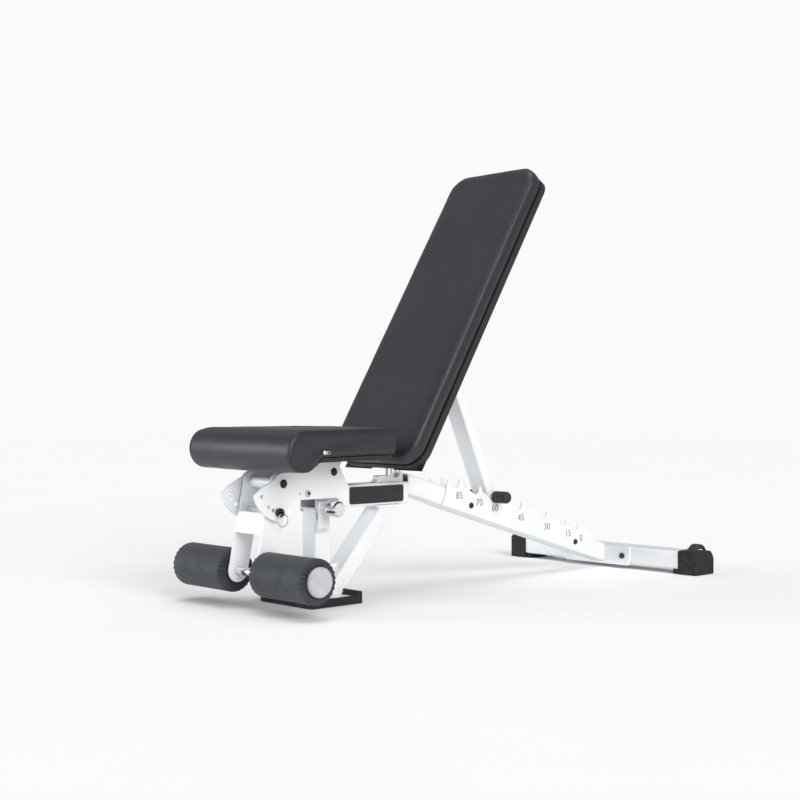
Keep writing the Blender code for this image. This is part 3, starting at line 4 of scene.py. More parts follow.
import bmesh
import bpy
import numpy as np
from mathutils import Matrix, Vector, noise
from mathutils.bvhtree import BVHTree


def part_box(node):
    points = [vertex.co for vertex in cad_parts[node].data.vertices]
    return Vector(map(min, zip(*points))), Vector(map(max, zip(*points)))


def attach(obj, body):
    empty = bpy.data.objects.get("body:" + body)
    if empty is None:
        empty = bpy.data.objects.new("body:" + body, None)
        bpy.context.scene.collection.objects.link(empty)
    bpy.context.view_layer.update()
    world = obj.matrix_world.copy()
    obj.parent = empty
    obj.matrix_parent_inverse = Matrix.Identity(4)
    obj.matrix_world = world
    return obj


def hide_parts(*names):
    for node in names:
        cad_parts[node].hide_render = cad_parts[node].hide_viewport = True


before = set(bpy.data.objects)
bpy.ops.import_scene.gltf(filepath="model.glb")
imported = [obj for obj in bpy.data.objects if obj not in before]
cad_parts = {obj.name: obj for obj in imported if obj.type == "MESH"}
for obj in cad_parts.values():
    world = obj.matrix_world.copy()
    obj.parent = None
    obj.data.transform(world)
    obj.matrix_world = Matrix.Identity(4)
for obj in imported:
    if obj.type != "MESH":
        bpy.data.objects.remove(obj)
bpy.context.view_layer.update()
SIDES = ((-1, "left"), (1, "right"))

# ---------------------------------------------------------------- upholstery sizes
BACK_ANGLE = math.radians(58.4)
PAD_UP = Vector((math.cos(BACK_ANGLE), 0.0, math.sin(BACK_ANGLE)))
PAD_IN = Vector((math.sin(BACK_ANGLE), 0.0, -math.cos(BACK_ANGLE)))
BACK_PIVOT = Vector((0.278, 0.0, 0.336))
PAD_BEFORE_PIVOT = 0.0808
PAD_BELOW_PIVOT = 0.0383
PAD_ORIGIN = BACK_PIVOT - PAD_IN * PAD_BEFORE_PIVOT - PAD_UP * PAD_BELOW_PIVOT
BACK_LENGTH = 0.898
BACK_CORNER = 0.050
BACK_FOAM = 0.0425
PAD_HALF = 0.155
SEAT_ROLL = Vector((-0.1620, 0.0, 0.3712))
SEAT_ROLL_RADIUS = 0.0493
SEAT_TOP = 0.4205
SEAT_BOTTOM = 0.3560
SEAT_REAR = 0.148
SEAT_HALF_FRONT = 0.196
SEAT_HALF_REAR = 0.159
BACK_VOXEL = 0.0060
SEAT_VOXEL = 0.0050
SHRINK = 0.0030
CLOTH_FRAMES = 20
STITCH = 0.0042
STITCH_GAP = 0.0028
STITCH_SIDES = 5
STITCH_RADIUS = 0.00045
STITCH_LIFT = 0.0001
WELT_SIDES = 8


# ------------------------------------------------------------------------ materials
class Look:
    """A principled material whose colour, roughness and bump come from nodes."""

    def __init__(self, name, **values):
        self.material = bpy.data.materials.new(name)
        self.material.use_nodes = True
        self.nodes = self.material.node_tree.nodes
        self.links = self.material.node_tree.links
        self.shader = self.nodes["Principled BSDF"]
        for key, value in values.items():
            self.shader.inputs[key.replace("_", " ")].default_value = value
        self.place = self.nodes.new("ShaderNodeTexCoord").outputs["Object"]
        self.normal = None

    def noise(self, scale, detail=3.0, rough=0.55, stretch=None):
        node = self.nodes.new("ShaderNodeTexNoise")
        node.inputs["Scale"].default_value = scale
        node.inputs["Detail"].default_value = detail
        node.inputs["Roughness"].default_value = rough
        self.links.new(self.stretched(stretch), node.inputs["Vector"])
        return node.outputs["Fac"]

    def stretched(self, stretch):
        if stretch is None:
            return self.place
        node = self.nodes.new("ShaderNodeMapping")
        node.inputs["Scale"].default_value = stretch
        self.links.new(self.place, node.inputs["Vector"])
        return node.outputs["Vector"]

    def cells(self, scale, feature="F1", stretch=None):
        node = self.nodes.new("ShaderNodeTexVoronoi")
        node.feature = feature
        node.inputs["Scale"].default_value = scale
        self.links.new(self.stretched(stretch), node.inputs["Vector"])
        return node.outputs["Distance"]

    def waves(self, scale, direction, distortion=0.0):
        node = self.nodes.new("ShaderNodeTexWave")
        node.bands_direction = direction
        node.inputs["Scale"].default_value = scale
        node.inputs["Distortion"].default_value = distortion
        self.links.new(self.place, node.inputs["Vector"])
        return node.outputs["Fac"]

    def ramp(self, source, low, high, start=0.3, end=0.7):
        node = self.nodes.new("ShaderNodeValToRGB")
        first, last = node.color_ramp.elements
        first.position, last.position = start, end
        first.color, last.color = (*low, 1.0), (*high, 1.0)
        self.links.new(source, node.inputs["Fac"])
        return node.outputs["Color"]

    def span(self, source, low, high, start=0.0, end=1.0):
        node = self.nodes.new("ShaderNodeMapRange")
        for key, value in (("From Min", start), ("From Max", end), ("To Min", low), ("To Max", high)):
            node.inputs[key].default_value = value
        self.links.new(source, node.inputs["Value"])
        return node.outputs["Result"]

    def colour(self, output):
        self.links.new(output, self.shader.inputs["Base Color"])

    def roughness(self, output):
        self.links.new(output, self.shader.inputs["Roughness"])

    def rounded(self, radius):
        node = self.nodes.new("ShaderNodeBevel")
        node.samples = 4
        node.inputs["Radius"].default_value = radius
        self.bend(node.outputs["Normal"])

    def bump(self, source, strength, distance):
        node = self.nodes.new("ShaderNodeBump")
        node.inputs["Strength"].default_value = strength
        node.inputs["Distance"].default_value = distance
        self.links.new(source, node.inputs["Height"])
        if self.normal is not None:
            self.links.new(self.normal, node.inputs["Normal"])
        self.bend(node.outputs["Normal"])

    def bend(self, output):
        self.normal = output
        self.links.new(output, self.shader.inputs["Normal"])


def powder_coat():
    """White gloss powder coat: orange peel, faint handling marks, soft edges."""
    look = Look("white_powder_coat", Coat_Weight=0.25, Coat_Roughness=0.16)
    look.colour(look.ramp(look.noise(scale=7.0, detail=6.0, rough=0.6),
                          low=(0.77, 0.785, 0.80), high=(0.86, 0.87, 0.88)))
    look.roughness(look.span(look.noise(scale=38.0, detail=5.0, rough=0.65),
                             low=0.26, high=0.46, start=0.3, end=0.7))
    look.rounded(radius=0.0009)
    look.bump(look.noise(scale=620.0, detail=2.0), strength=0.16, distance=0.0004)
    look.bump(look.noise(scale=9.0, detail=2.0), strength=0.05, distance=0.004)
    return look.material


def vinyl(name, dark, light, grain):
    """Dark upholstery vinyl: fine pebble grain, gentle hand wear in the sheen."""
    look = Look(name, Coat_Weight=0.18, Coat_Roughness=0.30, Sheen_Weight=0.03)
    look.colour(look.ramp(look.noise(scale=5.0, detail=6.0, rough=0.62), low=dark, high=light))
    look.roughness(look.span(look.noise(scale=11.0, detail=6.0, rough=0.7),
                             low=0.40, high=0.60, start=0.25, end=0.75))
    look.bump(look.cells(scale=grain, feature="SMOOTH_F1"), strength=0.32, distance=0.0006)
    look.bump(look.noise(scale=grain * 2.2, detail=2.0), strength=0.12, distance=0.0003)
    look.bump(look.noise(scale=14.0, detail=3.0), strength=0.10, distance=0.003)
    return look.material


def wrapped_board():
    """Vinyl-wrapped board behind the foam, with the stretch lines of the wrap."""
    look = Look("wrapped_board", Sheen_Weight=0.04)
    look.colour(look.ramp(look.noise(scale=9.0, detail=4.0),
                          low=(0.0090, 0.0098, 0.0125), high=(0.0140, 0.0150, 0.0185)))
    look.roughness(look.span(look.noise(scale=24.0, detail=4.0), low=0.52, high=0.72, start=0.3, end=0.7))
    look.rounded(radius=0.0010)
    look.bump(look.noise(scale=90.0, detail=3.0, rough=0.5, stretch=(1.0, 4.0, 1.0)),
              strength=0.25, distance=0.0005)
    return look.material


def rubber(name, tone, grain):
    """Moulded rubber with a matt grain and dusty patches."""
    look = Look(name)
    dusty = tuple(value * 1.9 for value in tone)
    look.colour(look.ramp(look.noise(scale=26.0, detail=6.0, rough=0.7),
                          low=tone, high=dusty, start=0.45, end=0.95))
    look.roughness(look.span(look.noise(scale=60.0, detail=4.0), low=0.62, high=0.88, start=0.3, end=0.7))
    look.rounded(radius=0.0012)
    look.bump(look.noise(scale=grain, detail=3.0), strength=0.30, distance=0.0005)
    return look.material


def foam_cover():
    """Textile-backed cover of the leg rollers: tight fine grain, no gloss."""
    look = Look("roller_cover", Sheen_Weight=0.10, Sheen_Roughness=0.50)
    look.colour(look.ramp(look.noise(scale=16.0, detail=5.0, rough=0.65),
                          low=(0.0210, 0.0240, 0.0325), high=(0.0310, 0.0350, 0.0460)))
    look.roughness(look.span(look.noise(scale=40.0, detail=5.0), low=0.58, high=0.78, start=0.3, end=0.7))
    look.bump(look.cells(scale=900.0, feature="F1"), strength=0.28, distance=0.0005)
    look.bump(look.noise(scale=22.0, detail=3.0), strength=0.12, distance=0.002)
    return look.material


def moulded_cap():
    """Light grey moulded plastic of the roller end caps."""
    look = Look("moulded_cap", Subsurface_Weight=0.03)
    look.colour(look.ramp(look.noise(scale=55.0, detail=4.0),
                          low=(0.42, 0.43, 0.45), high=(0.50, 0.51, 0.53)))
    look.roughness(look.span(look.noise(scale=80.0, detail=4.0), low=0.34, high=0.50, start=0.3, end=0.7))
    look.rounded(radius=0.0012)
    look.bump(look.noise(scale=1100.0, detail=2.0), strength=0.20, distance=0.0003)
    return look.material


def plated(name, tone, low, high, brush):
    """Plated steel: drawn or brushed lines, slight patches of dullness."""
    look = Look(name, Metallic=1.0)
    dull = tuple(value * 0.82 for value in tone)
    look.colour(look.ramp(look.noise(scale=30.0, detail=5.0), low=dull, high=tone))
    look.roughness(look.span(look.noise(scale=90.0, detail=4.0), low=low, high=high, start=0.3, end=0.7))
    look.rounded(radius=0.0006)
    look.bump(look.noise(scale=brush, detail=2.0, rough=0.5, stretch=(1.0, 0.08, 1.0)),
              strength=0.10, distance=0.0002)
    return look.material


def black_oxide():
    """Black oxide fasteners: oily sheen, browner where handled."""
    look = Look("black_oxide", Metallic=0.55, Coat_Weight=0.20, Coat_Roughness=0.30)
    look.colour(look.ramp(look.noise(scale=120.0, detail=5.0),
                          low=(0.012, 0.012, 0.013), high=(0.040, 0.036, 0.032)))
    look.roughness(look.span(look.noise(scale=200.0, detail=4.0),
                             low=0.30, high=0.50, start=0.3, end=0.7))
    look.rounded(radius=0.0006)
    look.bump(look.noise(scale=800.0, detail=2.0), strength=0.12, distance=0.0003)
    return look.material


def satin_plate():
    """Blank name plate: satin black enamel with fine scuffs."""
    look = Look("satin_plate", Coat_Weight=0.15, Coat_Roughness=0.25)
    look.colour(look.ramp(look.noise(scale=40.0, detail=5.0),
                          low=(0.006, 0.006, 0.0065), high=(0.012, 0.012, 0.013)))
    look.roughness(look.span(look.noise(scale=130.0, detail=5.0),
                             low=0.30, high=0.46, start=0.3, end=0.7))
    look.rounded(radius=0.0008)
    look.bump(look.noise(scale=500.0, detail=3.0, rough=0.6, stretch=(1.0, 1.0, 6.0)),
              strength=0.10, distance=0.0002)
    return look.material


def ribbed_grip():
    """Black crossbar grips with moulded ribs round them."""
    look = Look("ribbed_grip")
    look.colour(look.ramp(look.noise(scale=70.0, detail=4.0),
                          low=(0.010, 0.010, 0.011), high=(0.022, 0.022, 0.024)))
    look.roughness(look.span(look.noise(scale=90.0, detail=4.0), low=0.48, high=0.70, start=0.3, end=0.7))
    look.rounded(radius=0.0010)
    look.bump(look.waves(scale=75.0, direction="Y"), strength=0.45, distance=0.0010)
    look.bump(look.noise(scale=900.0, detail=2.0), strength=0.15, distance=0.0003)
    return look.material


def print_ink(name, low, high, rough):
    """Screen-printed ink or sewing thread, slightly uneven."""
    look = Look(name)
    look.colour(look.ramp(look.noise(scale=300.0, detail=4.0), low=low, high=high))
    look.roughness(look.span(look.noise(scale=240.0, detail=3.0),
                             low=rough - 0.08, high=rough + 0.08, start=0.3, end=0.7))
    look.bump(look.noise(scale=1500.0, detail=2.0), strength=0.15, distance=0.0002)
    return look.material


VINYL = vinyl("pad_vinyl", dark=(0.0090, 0.0102, 0.0145), light=(0.0140, 0.0158, 0.0218), grain=520.0)
THREAD = print_ink("thread", low=(0.014, 0.015, 0.018), high=(0.024, 0.026, 0.030), rough=0.60)
WELT = vinyl("welt_vinyl", dark=(0.0080, 0.0090, 0.0110), light=(0.0130, 0.0145, 0.0180), grain=700.0)
COVER = foam_cover()
ZINC = plated("zinc_plate", tone=(0.72, 0.73, 0.74), low=0.22, high=0.38, brush=420.0)
INK = print_ink("marking_ink", low=(0.13, 0.135, 0.15), high=(0.18, 0.185, 0.20), rough=0.50)
# near-black painted shade that stands in for the depth of the bolt sockets
DARK = print_ink("socket_shade", low=(0.002, 0.002, 0.002), high=(0.005, 0.005, 0.005), rough=0.60)
LOOKS = {
    "white_paint": powder_coat(),
    "vinyl": VINYL,
    "board": wrapped_board(),
    "rubber": rubber("foot_rubber", tone=(0.007, 0.007, 0.0075), grain=500.0),
    "wheel_rubber": rubber("wheel_tread", tone=(0.018, 0.018, 0.019), grain=380.0),
    "foam": COVER,
    "cap_plastic": moulded_cap(),
    "chrome": plated("chrome_plate", tone=(0.86, 0.87, 0.88), low=0.08, high=0.20, brush=260.0),
    "zinc": ZINC,
    "black_steel": black_oxide(),
    "black_plate": satin_plate(),
}
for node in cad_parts.values():
    for holder in node.material_slots:
        holder.material = LOOKS[holder.material.name.split(".")[0]]
for _, side_name in SIDES:
    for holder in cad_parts["grip_" + side_name].material_slots:
        holder.material = ribbed_grip()


# -------------------------------------------------------------------- mesh helpers
def new_piece(name, mesh, material, body, smooth=True):
    """An object for the mesh that rides on a body and has one material."""
    item = bpy.data.objects.new(name, mesh)
    bpy.context.collection.objects.link(item)
    mesh.materials.clear()
    mesh.materials.append(material)
    mesh.polygons.foreach_set("use_smooth", [smooth] * len(mesh.polygons))
    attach(item, body)
    return item


def baked(item):
    """The object's mesh with its modifiers applied, in the row frame."""
    graph = bpy.context.evaluated_depsgraph_get()
    mesh = bpy.data.meshes.new_from_object(item.evaluated_get(graph))
    mesh.transform(item.matrix_world)
    return mesh


def coordinates(mesh):
    """The vertex positions, one row each."""
    values = np.empty(len(mesh.vertices) * 3)
    mesh.vertices.foreach_get("co", values)
    return values.reshape(-1, 3)


def normals(mesh):
    """The vertex normals, one row each."""
    values = np.empty(len(mesh.vertices) * 3)
    mesh.vertex_normals.foreach_get("vector", values)
    return values.reshape(-1, 3)


def polyline_tube(name, points, radius, closed, material, body, sides=6):
    """A round welt, seam or stitch run that follows points."""
    mesh = bpy.data.meshes.new(name)
    shape = bmesh.new()
    add_tube(shape, points, radius, closed, sides)
    shape.to_mesh(mesh)
    shape.free()
    return new_piece(name, mesh, material, body)


def add_tube(shape, points, radius, closed, sides):
    """Add a tube of the given radius along points to a bmesh, capped unless it is closed."""
    rings = []
    count = len(points)
    across = None
    for i, point in enumerate(points):
        before = points[i - 1] if closed or i > 0 else point
        after = points[(i + 1) % count] if closed or i < count - 1 else point
        along = (after - before).normalized()
        if across is None:
            across = along.orthogonal().normalized()
        across = (across - along * across.dot(along)).normalized()
        other = along.cross(across)
        ring = []
        for k in range(sides):
            turn = 2.0 * math.pi * k / sides
            reach = (across * math.cos(turn) + other * math.sin(turn)) * radius
            ring.append(shape.verts.new(point + reach))
        rings.append(ring)
    last = count if closed else count - 1
    for i in range(last):
        here, there = rings[i], rings[(i + 1) % count]
        shift = 0
        if closed and i == count - 1:
            shift = min(range(sides), key=lambda s: (here[0].co - there[s].co).length)
        for k in range(sides):
            shape.faces.new((here[k], here[(k + 1) % sides],
                             there[(k + 1 + shift) % sides], there[(k + shift) % sides]))
    if not closed:
        shape.faces.new(list(reversed(rings[0])))
        shape.faces.new(rings[-1])


def resampled(points, step, closed):
    """Points at an even step along a polyline."""
    loop = points + [points[0]] if closed else points
    result = []
    carried = 0.0
    for start, end in zip(loop, loop[1:]):
        length = (end - start).length
        distance = carried
        while distance < length:
            result.append(start.lerp(end, distance / length))
            distance += step
        carried = distance - length
    if not closed:
        result.append(loop[-1])
    return result


def snapped(points, tree, lift):
    """The points moved onto a cushion's surface, then lifted off it."""
    result = []
    for point in points:
        spot, normal, _, _ = tree.find_nearest(point)
        result.append(spot + normal * lift)
    return result


def stitch_run(name, points, radius, closed, body):
    """Separate sewn stitches that follow points."""
    even = resampled(points, STITCH + STITCH_GAP, closed)
    mesh = bpy.data.meshes.new(name)
    shape = bmesh.new()
    for start, end in zip(even, even[1:]):
        along = (end - start).normalized()
        add_tube(shape, [start, start + along * STITCH * 0.5, start + along * STITCH],
                 radius, False, STITCH_SIDES)
    shape.to_mesh(mesh)
    shape.free()
    return new_piece(name, mesh, THREAD, body)


def fan(centre, radius, start, end, steps):
    """Points of an arc about centre in the XZ plane, degrees from +X towards +Z."""
    points = []
    for i in range(steps + 1):
        angle = math.radians(start + (end - start) * i / steps)
        points.append((centre[0] + radius * math.cos(angle), centre[1] + radius * math.sin(angle)))
    return points


# ------------------------------------------------------------------------ cushions
def cushion_start(name, node, voxel):
    """A remeshed, slightly smaller copy of a soft CAD solid."""
    mesh = baked(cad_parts[node])
    item = bpy.data.objects.new(name, mesh)
    bpy.context.collection.objects.link(item)
    remesh = item.modifiers.new("even_skin", "REMESH")
    remesh.mode = "VOXEL"
    remesh.voxel_size = voxel
    mesh = baked(item)
    bpy.data.objects.remove(item)
    item = bpy.data.objects.new(name, mesh)
    bpy.context.collection.objects.link(item)
    start = coordinates(mesh) - normals(mesh) * SHRINK
    mesh.vertices.foreach_set("co", start.ravel())
    mesh.update()
    return item, start


COVER_CLOTH = {"quality": 4, "mass": 0.25, "tension_stiffness": 18.0, "compression_stiffness": 18.0,
               "shear_stiffness": 6.0, "bending_stiffness": 1.5, "use_pressure": True,
               "uniform_pressure_force": 4.0}
LEAST_SWELL = SHRINK * 0.72
REST_SWELL = SHRINK * 0.85
SEAT_SWELL = SHRINK + 0.0014
CROWN_SWELL = SHRINK + 0.0030
EDGE_SWELL = SHRINK + 0.0008
FACING = 0.6
SEAT_FLAT_FROM = 0.045
BOARD_BAND = 0.004
SEAT_RIPPLE = 0.0007
BACK_RIPPLE = 0.0006
RIPPLE_SCALE = 16.0
RELAX_STEPS = 6


def inflate(items):
    """Blow the closed covers up as cloth, all of them in one run."""
    for item in items:
        cloth = item.modifiers.new("cover", "CLOTH")
        settings = cloth.settings
        for key, value in COVER_CLOTH.items():
            setattr(settings, key, value)
        settings.effector_weights.gravity = 0.0
        cloth.collision_settings.use_collision = False
        cloth.point_cache.frame_start = 1
        cloth.point_cache.frame_end = CLOTH_FRAMES
    for step in range(1, CLOTH_FRAMES + 1):
        bpy.context.scene.frame_set(step)
    blown = [coordinates(baked(item)) for item in items]
    for item in items:
        item.modifiers.clear()
    bpy.context.scene.frame_set(1)
    return blown


def dress(item, start, blown, caps, ripple):
    """Settle a blown cover: cap its swell, add faint ripples, subdivide once."""
    mesh = item.data
    outward = normals(mesh)
    swell = np.clip(np.sum((blown - start) * outward, axis=1), LEAST_SWELL, caps)
    settled = start + outward * swell[:, None]
    mesh.vertices.foreach_set("co", settled.ravel())
    mesh.update()
    wave = np.array([noise.fractal(Vector(point) * RIPPLE_SCALE, 1.0, 2.0, 3) for point in settled])
    settled = settled + normals(mesh) * (wave * ripple)[:, None]
    mesh.vertices.foreach_set("co", settled.ravel())
    mesh.update()
    relax = item.modifiers.new("relax", "CORRECTIVE_SMOOTH")
    relax.factor = 0.5
    relax.iterations = RELAX_STEPS
    relax.use_only_smooth = True
    fine = item.modifiers.new("fine", "SUBSURF")
    fine.levels = fine.render_levels = 1
    mesh = baked(item)
    bpy.data.objects.remove(item)
    return mesh


def seat_half(x):
    """Half the seat's width at x: it narrows towards the back."""
    share = min(max((x - SEAT_ROLL.x) / (SEAT_REAR - SEAT_ROLL.x), 0.0), 1.0)
    return SEAT_HALF_FRONT + (SEAT_HALF_REAR - SEAT_HALF_FRONT) * share


def make_cushions():
    """The seat and back cushions, blown up and settled, in place of their CAD solids."""
    seat, seat_start = cushion_start("seat_start", "seat_pad", SEAT_VOXEL)
    back, back_start = cushion_start("back_start", "back_pad", BACK_VOXEL)
    seat_normal, back_normal = normals(seat.data), normals(back.data)
    seat_blown, back_blown = inflate([seat, back])
    rests = (seat_normal[:, 2] < -FACING) & (seat_start[:, 0] > SEAT_ROLL.x + SEAT_FLAT_FROM)
    seat_caps = np.where(rests, REST_SWELL, SEAT_SWELL)
    into = (back_start - np.array(PAD_ORIGIN)) @ np.array(PAD_IN)
    facing = back_normal @ np.array(PAD_IN)
    back_caps = np.where(facing < -FACING, CROWN_SWELL, EDGE_SWELL)
    back_caps = np.where((facing > FACING) | (into > BACK_FOAM - BOARD_BAND), REST_SWELL, back_caps)
    seat_mesh = dress(seat, seat_start, seat_blown, seat_caps, SEAT_RIPPLE)
    back_mesh = dress(back, back_start, back_blown, back_caps, BACK_RIPPLE)
    seat_piece = new_piece("seat_cushion", seat_mesh, VINYL, "seat")
    back_piece = new_piece("back_cushion", back_mesh, VINYL, "back")
    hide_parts("seat_pad")
    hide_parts("back_pad")
    return seat_piece, back_piece


def tree_of(item):
    """A search tree of an object's faces."""
    shape = bmesh.new()
    shape.from_mesh(item.data)
    tree = BVHTree.FromBMesh(shape)
    shape.free()
    return tree


SEAT_REAR_RADIUS = 0.014
SEAT_HEEL = (0.002, 0.004)
SEAT_ROLL_ENDS = (90.0, 318.0)
SEAT_ROLL_HEEL = 0.052


def seat_outline(inset=0.0):
    """The seat's side outline in XZ, drawn in by inset."""
    roll = (SEAT_ROLL.x, SEAT_ROLL.z)
    low, top = SEAT_BOTTOM + inset, SEAT_TOP - inset
    rear = SEAT_REAR - inset
    points = [(rear - SEAT_HEEL[0], low), (rear, low + SEAT_HEEL[1])]
    points += fan((rear - SEAT_REAR_RADIUS, top - SEAT_REAR_RADIUS), SEAT_REAR_RADIUS, 0.0, 90.0, 6)
    points += fan(roll, SEAT_ROLL_RADIUS - inset, *SEAT_ROLL_ENDS, 30)
    points += [(SEAT_ROLL.x + SEAT_ROLL_HEEL - inset, low)]
    return points


SEAT_STEP = 0.006
SEAT_WELT_IN = 0.0035
SEAT_WELT_INSET = 0.0010
SEAT_WELT_RADIUS = 0.0017
SEAT_WELT_LIFT = 0.0004
SEAT_STITCH_INSET = 0.0085
ZIP_ROWS = (0.0085, 0.0150)
ZIP_FROM = 0.066
ZIP_WIDTH_AT = -0.10
ZIP_REAR_GAP = 0.006
ZIP_STEP = 0.008
ZIP_SINK = 0.0001
ZIP_RADIUS = 0.0008
SLIDER_FROM = 0.060
SLIDER_UP = 0.0118
SLIDER_OUT = 0.0008


def make_seat_trim(cushion):
    """Welt and stitches round both sides of the seat, and the two lines of its lower band."""
    tree = tree_of(cushion)
    for side, name in SIDES:
        edge = [Vector((x, side * (seat_half(x) - SEAT_WELT_IN), z))
                for x, z in seat_outline(SEAT_WELT_INSET)]
        edge = snapped(resampled(edge, SEAT_STEP, True), tree, SEAT_WELT_LIFT)
        polyline_tube("seat_welt_" + name, edge, SEAT_WELT_RADIUS, True, WELT, "seat", WELT_SIDES)
        inner = [Vector((x, side * seat_half(x), z)) for x, z in seat_outline(SEAT_STITCH_INSET)]
        inner = snapped(resampled(inner, SEAT_STEP, True), tree, STITCH_LIFT)
        stitch_run("seat_stitches_" + name, inner, STITCH_RADIUS, True, "seat")
        for row, height in enumerate(ZIP_ROWS):
            line = [Vector((SEAT_ROLL.x + ZIP_FROM, side * seat_half(ZIP_WIDTH_AT), SEAT_BOTTOM + height)),
                    Vector((SEAT_REAR - ZIP_REAR_GAP, side * seat_half(SEAT_REAR), SEAT_BOTTOM + height))]
            line = snapped(resampled(line, ZIP_STEP, False), tree, -ZIP_SINK)
            polyline_tube("seat_zip_%s_%d" % (name, row + 1), line, ZIP_RADIUS, False,
                          THREAD, "seat")
    x = SEAT_ROLL.x + SLIDER_FROM
    make_zip_slider(Vector((x, -seat_half(x) - SLIDER_OUT, SEAT_BOTTOM + SLIDER_UP)))


SLIDER_OUTLINE = ((-0.0075, -0.0022), (-0.0040, -0.0048), (0.0040, -0.0048), (0.0075, -0.0030),
                  (0.0075, 0.0030), (0.0040, 0.0048), (-0.0040, 0.0048), (-0.0075, 0.0022))
SLIDER_DEPTH = 0.0026
SLIDER_EDGE = 0.0005
PULL_FROM = 0.0075
PULL_OUT = 0.0030
PULL_HALF = (0.0050, 0.0034)
PULL_WIRE = 0.0008
PULL_POINTS = 16


def make_zip_slider(spot):
    """Zip slider and its pull, parked at the roll end of the near seam."""
    shape = bmesh.new()
    body = bmesh.ops.create_circle(shape, segments=len(SLIDER_OUTLINE), radius=1.0, cap_ends=True)["verts"]
    for vertex, (along, up) in zip(body, SLIDER_OUTLINE):
        vertex.co = spot + Vector((along, 0.0, up))
    lid = bmesh.ops.extrude_face_region(shape, geom=list(shape.faces))["geom"]
    for vertex in [part for part in lid if isinstance(part, bmesh.types.BMVert)]:
        vertex.co.y -= SLIDER_DEPTH
    bmesh.ops.bevel(shape, geom=list(shape.edges), offset=SLIDER_EDGE, segments=2, affect="EDGES")
    bmesh.ops.recalc_face_normals(shape, faces=list(shape.faces))
    long, high = PULL_HALF
    loop = [spot + Vector((PULL_FROM + long * math.cos(turn), -PULL_OUT, high * math.sin(turn)))
            for turn in [2.0 * math.pi * k / PULL_POINTS for k in range(PULL_POINTS)]]
    add_tube(shape, loop, PULL_WIRE, True, WELT_SIDES)
    mesh = bpy.data.meshes.new("seat_zip_slider")
    shape.to_mesh(mesh)
    shape.free()
    new_piece("seat_zip_slider", mesh, ZINC, "seat")


def pad_spot(up, into, y):
    """A point of the back pad from its distance up the pad, its depth and y."""
    point = PAD_ORIGIN + PAD_UP * up + PAD_IN * into
    return Vector((point.x, y, point.z))


def back_outline(inset, into):
    """The back pad's rounded outline as points on the plane at depth into."""
    half, top, corner = PAD_HALF - inset, BACK_LENGTH - inset, BACK_CORNER - inset
    corners = ((half - corner, top - corner, 0.0), (-half + corner, top - corner, 90.0),
               (-half + corner, inset + corner, 180.0), (half - corner, inset + corner, 270.0))
    points = []
    for y, up, start in corners:
        for turned_y, turned_up in fan((y, up), corner, start, start + 90.0, 8):
            points.append(pad_spot(turned_up, into, turned_y))
    return points


BACK_STEP = 0.008
CREASE_INSET = 0.0022
CREASE_RADIUS = 0.0013
FRONT_STITCH_INSET = 0.0115
SIDE_STITCH_DEPTH = 0.0110
REAR_WELT_INSET = 0.0008
REAR_WELT_GAP = 0.0035
REAR_WELT_RADIUS = 0.0014
BACK_WELT_LIFT = 0.0002


def make_back_trim(cushion):
    """Crease, two stitch rows and rear welt round the back pad."""
    tree = tree_of(cushion)
    crease = back_outline(CREASE_INSET, CREASE_INSET)
    crease = snapped(resampled(crease, BACK_STEP, True), tree, BACK_WELT_LIFT)
    polyline_tube("back_crease", crease, CREASE_RADIUS, True, WELT, "back", WELT_SIDES)
    row = snapped(resampled(back_outline(FRONT_STITCH_INSET, 0.0), BACK_STEP, True), tree, STITCH_LIFT)
    stitch_run("back_stitches_front", row, STITCH_RADIUS, True, "back")
    side_row = snapped(resampled(back_outline(0.0, SIDE_STITCH_DEPTH), BACK_STEP, True), tree, STITCH_LIFT)
    stitch_run("back_stitches_side", side_row, STITCH_RADIUS, True, "back")
    rear = back_outline(REAR_WELT_INSET, BACK_FOAM - REAR_WELT_GAP)
    rear = snapped(resampled(rear, BACK_STEP, True), tree, BACK_WELT_LIFT)
    polyline_tube("back_rear_welt", rear, REAR_WELT_RADIUS, True, WELT, "back", WELT_SIDES)


# ------------------------------------------------------------------------- rollers
PLEATS = 26
ROLLER_STEPS = 8
FACE_STEPS = 8
TUBE_STEPS = 12
FACE_IN = 0.0008
FACE_DISH = 0.0022
AXLE_REACH = 0.0115
RIM_ROUND = 0.0034
RIM_LENGTH = 0.0070
TUBE_FROM = FACE_IN + RIM_LENGTH
TUBE_WAIST = 0.0004
PLEAT_DEPTH = 0.0062
PLEAT_SINK = 0.0016
PLEAT_EVEN = 0.75
PLEAT_CHANGE = 0.35
PLEAT_PATCHES = 1.7
PLEAT_DRIFT = 1.1
EVEN_SEED = 3.0
DRIFT_SEED = 7.0


def rim(face, radius, inward):
    """Profile of the cover's turned edge: (along, reach, pleat depth) from face to tube."""
    points = []
    for i in range(1, FACE_STEPS + 1):
        angle = math.radians(90.0 * i / FACE_STEPS)
        points.append((face + inward * RIM_LENGTH * (1.0 - math.cos(angle)),
                       radius - RIM_ROUND + RIM_ROUND * math.sin(angle), 1.0 - i / FACE_STEPS))
    return points


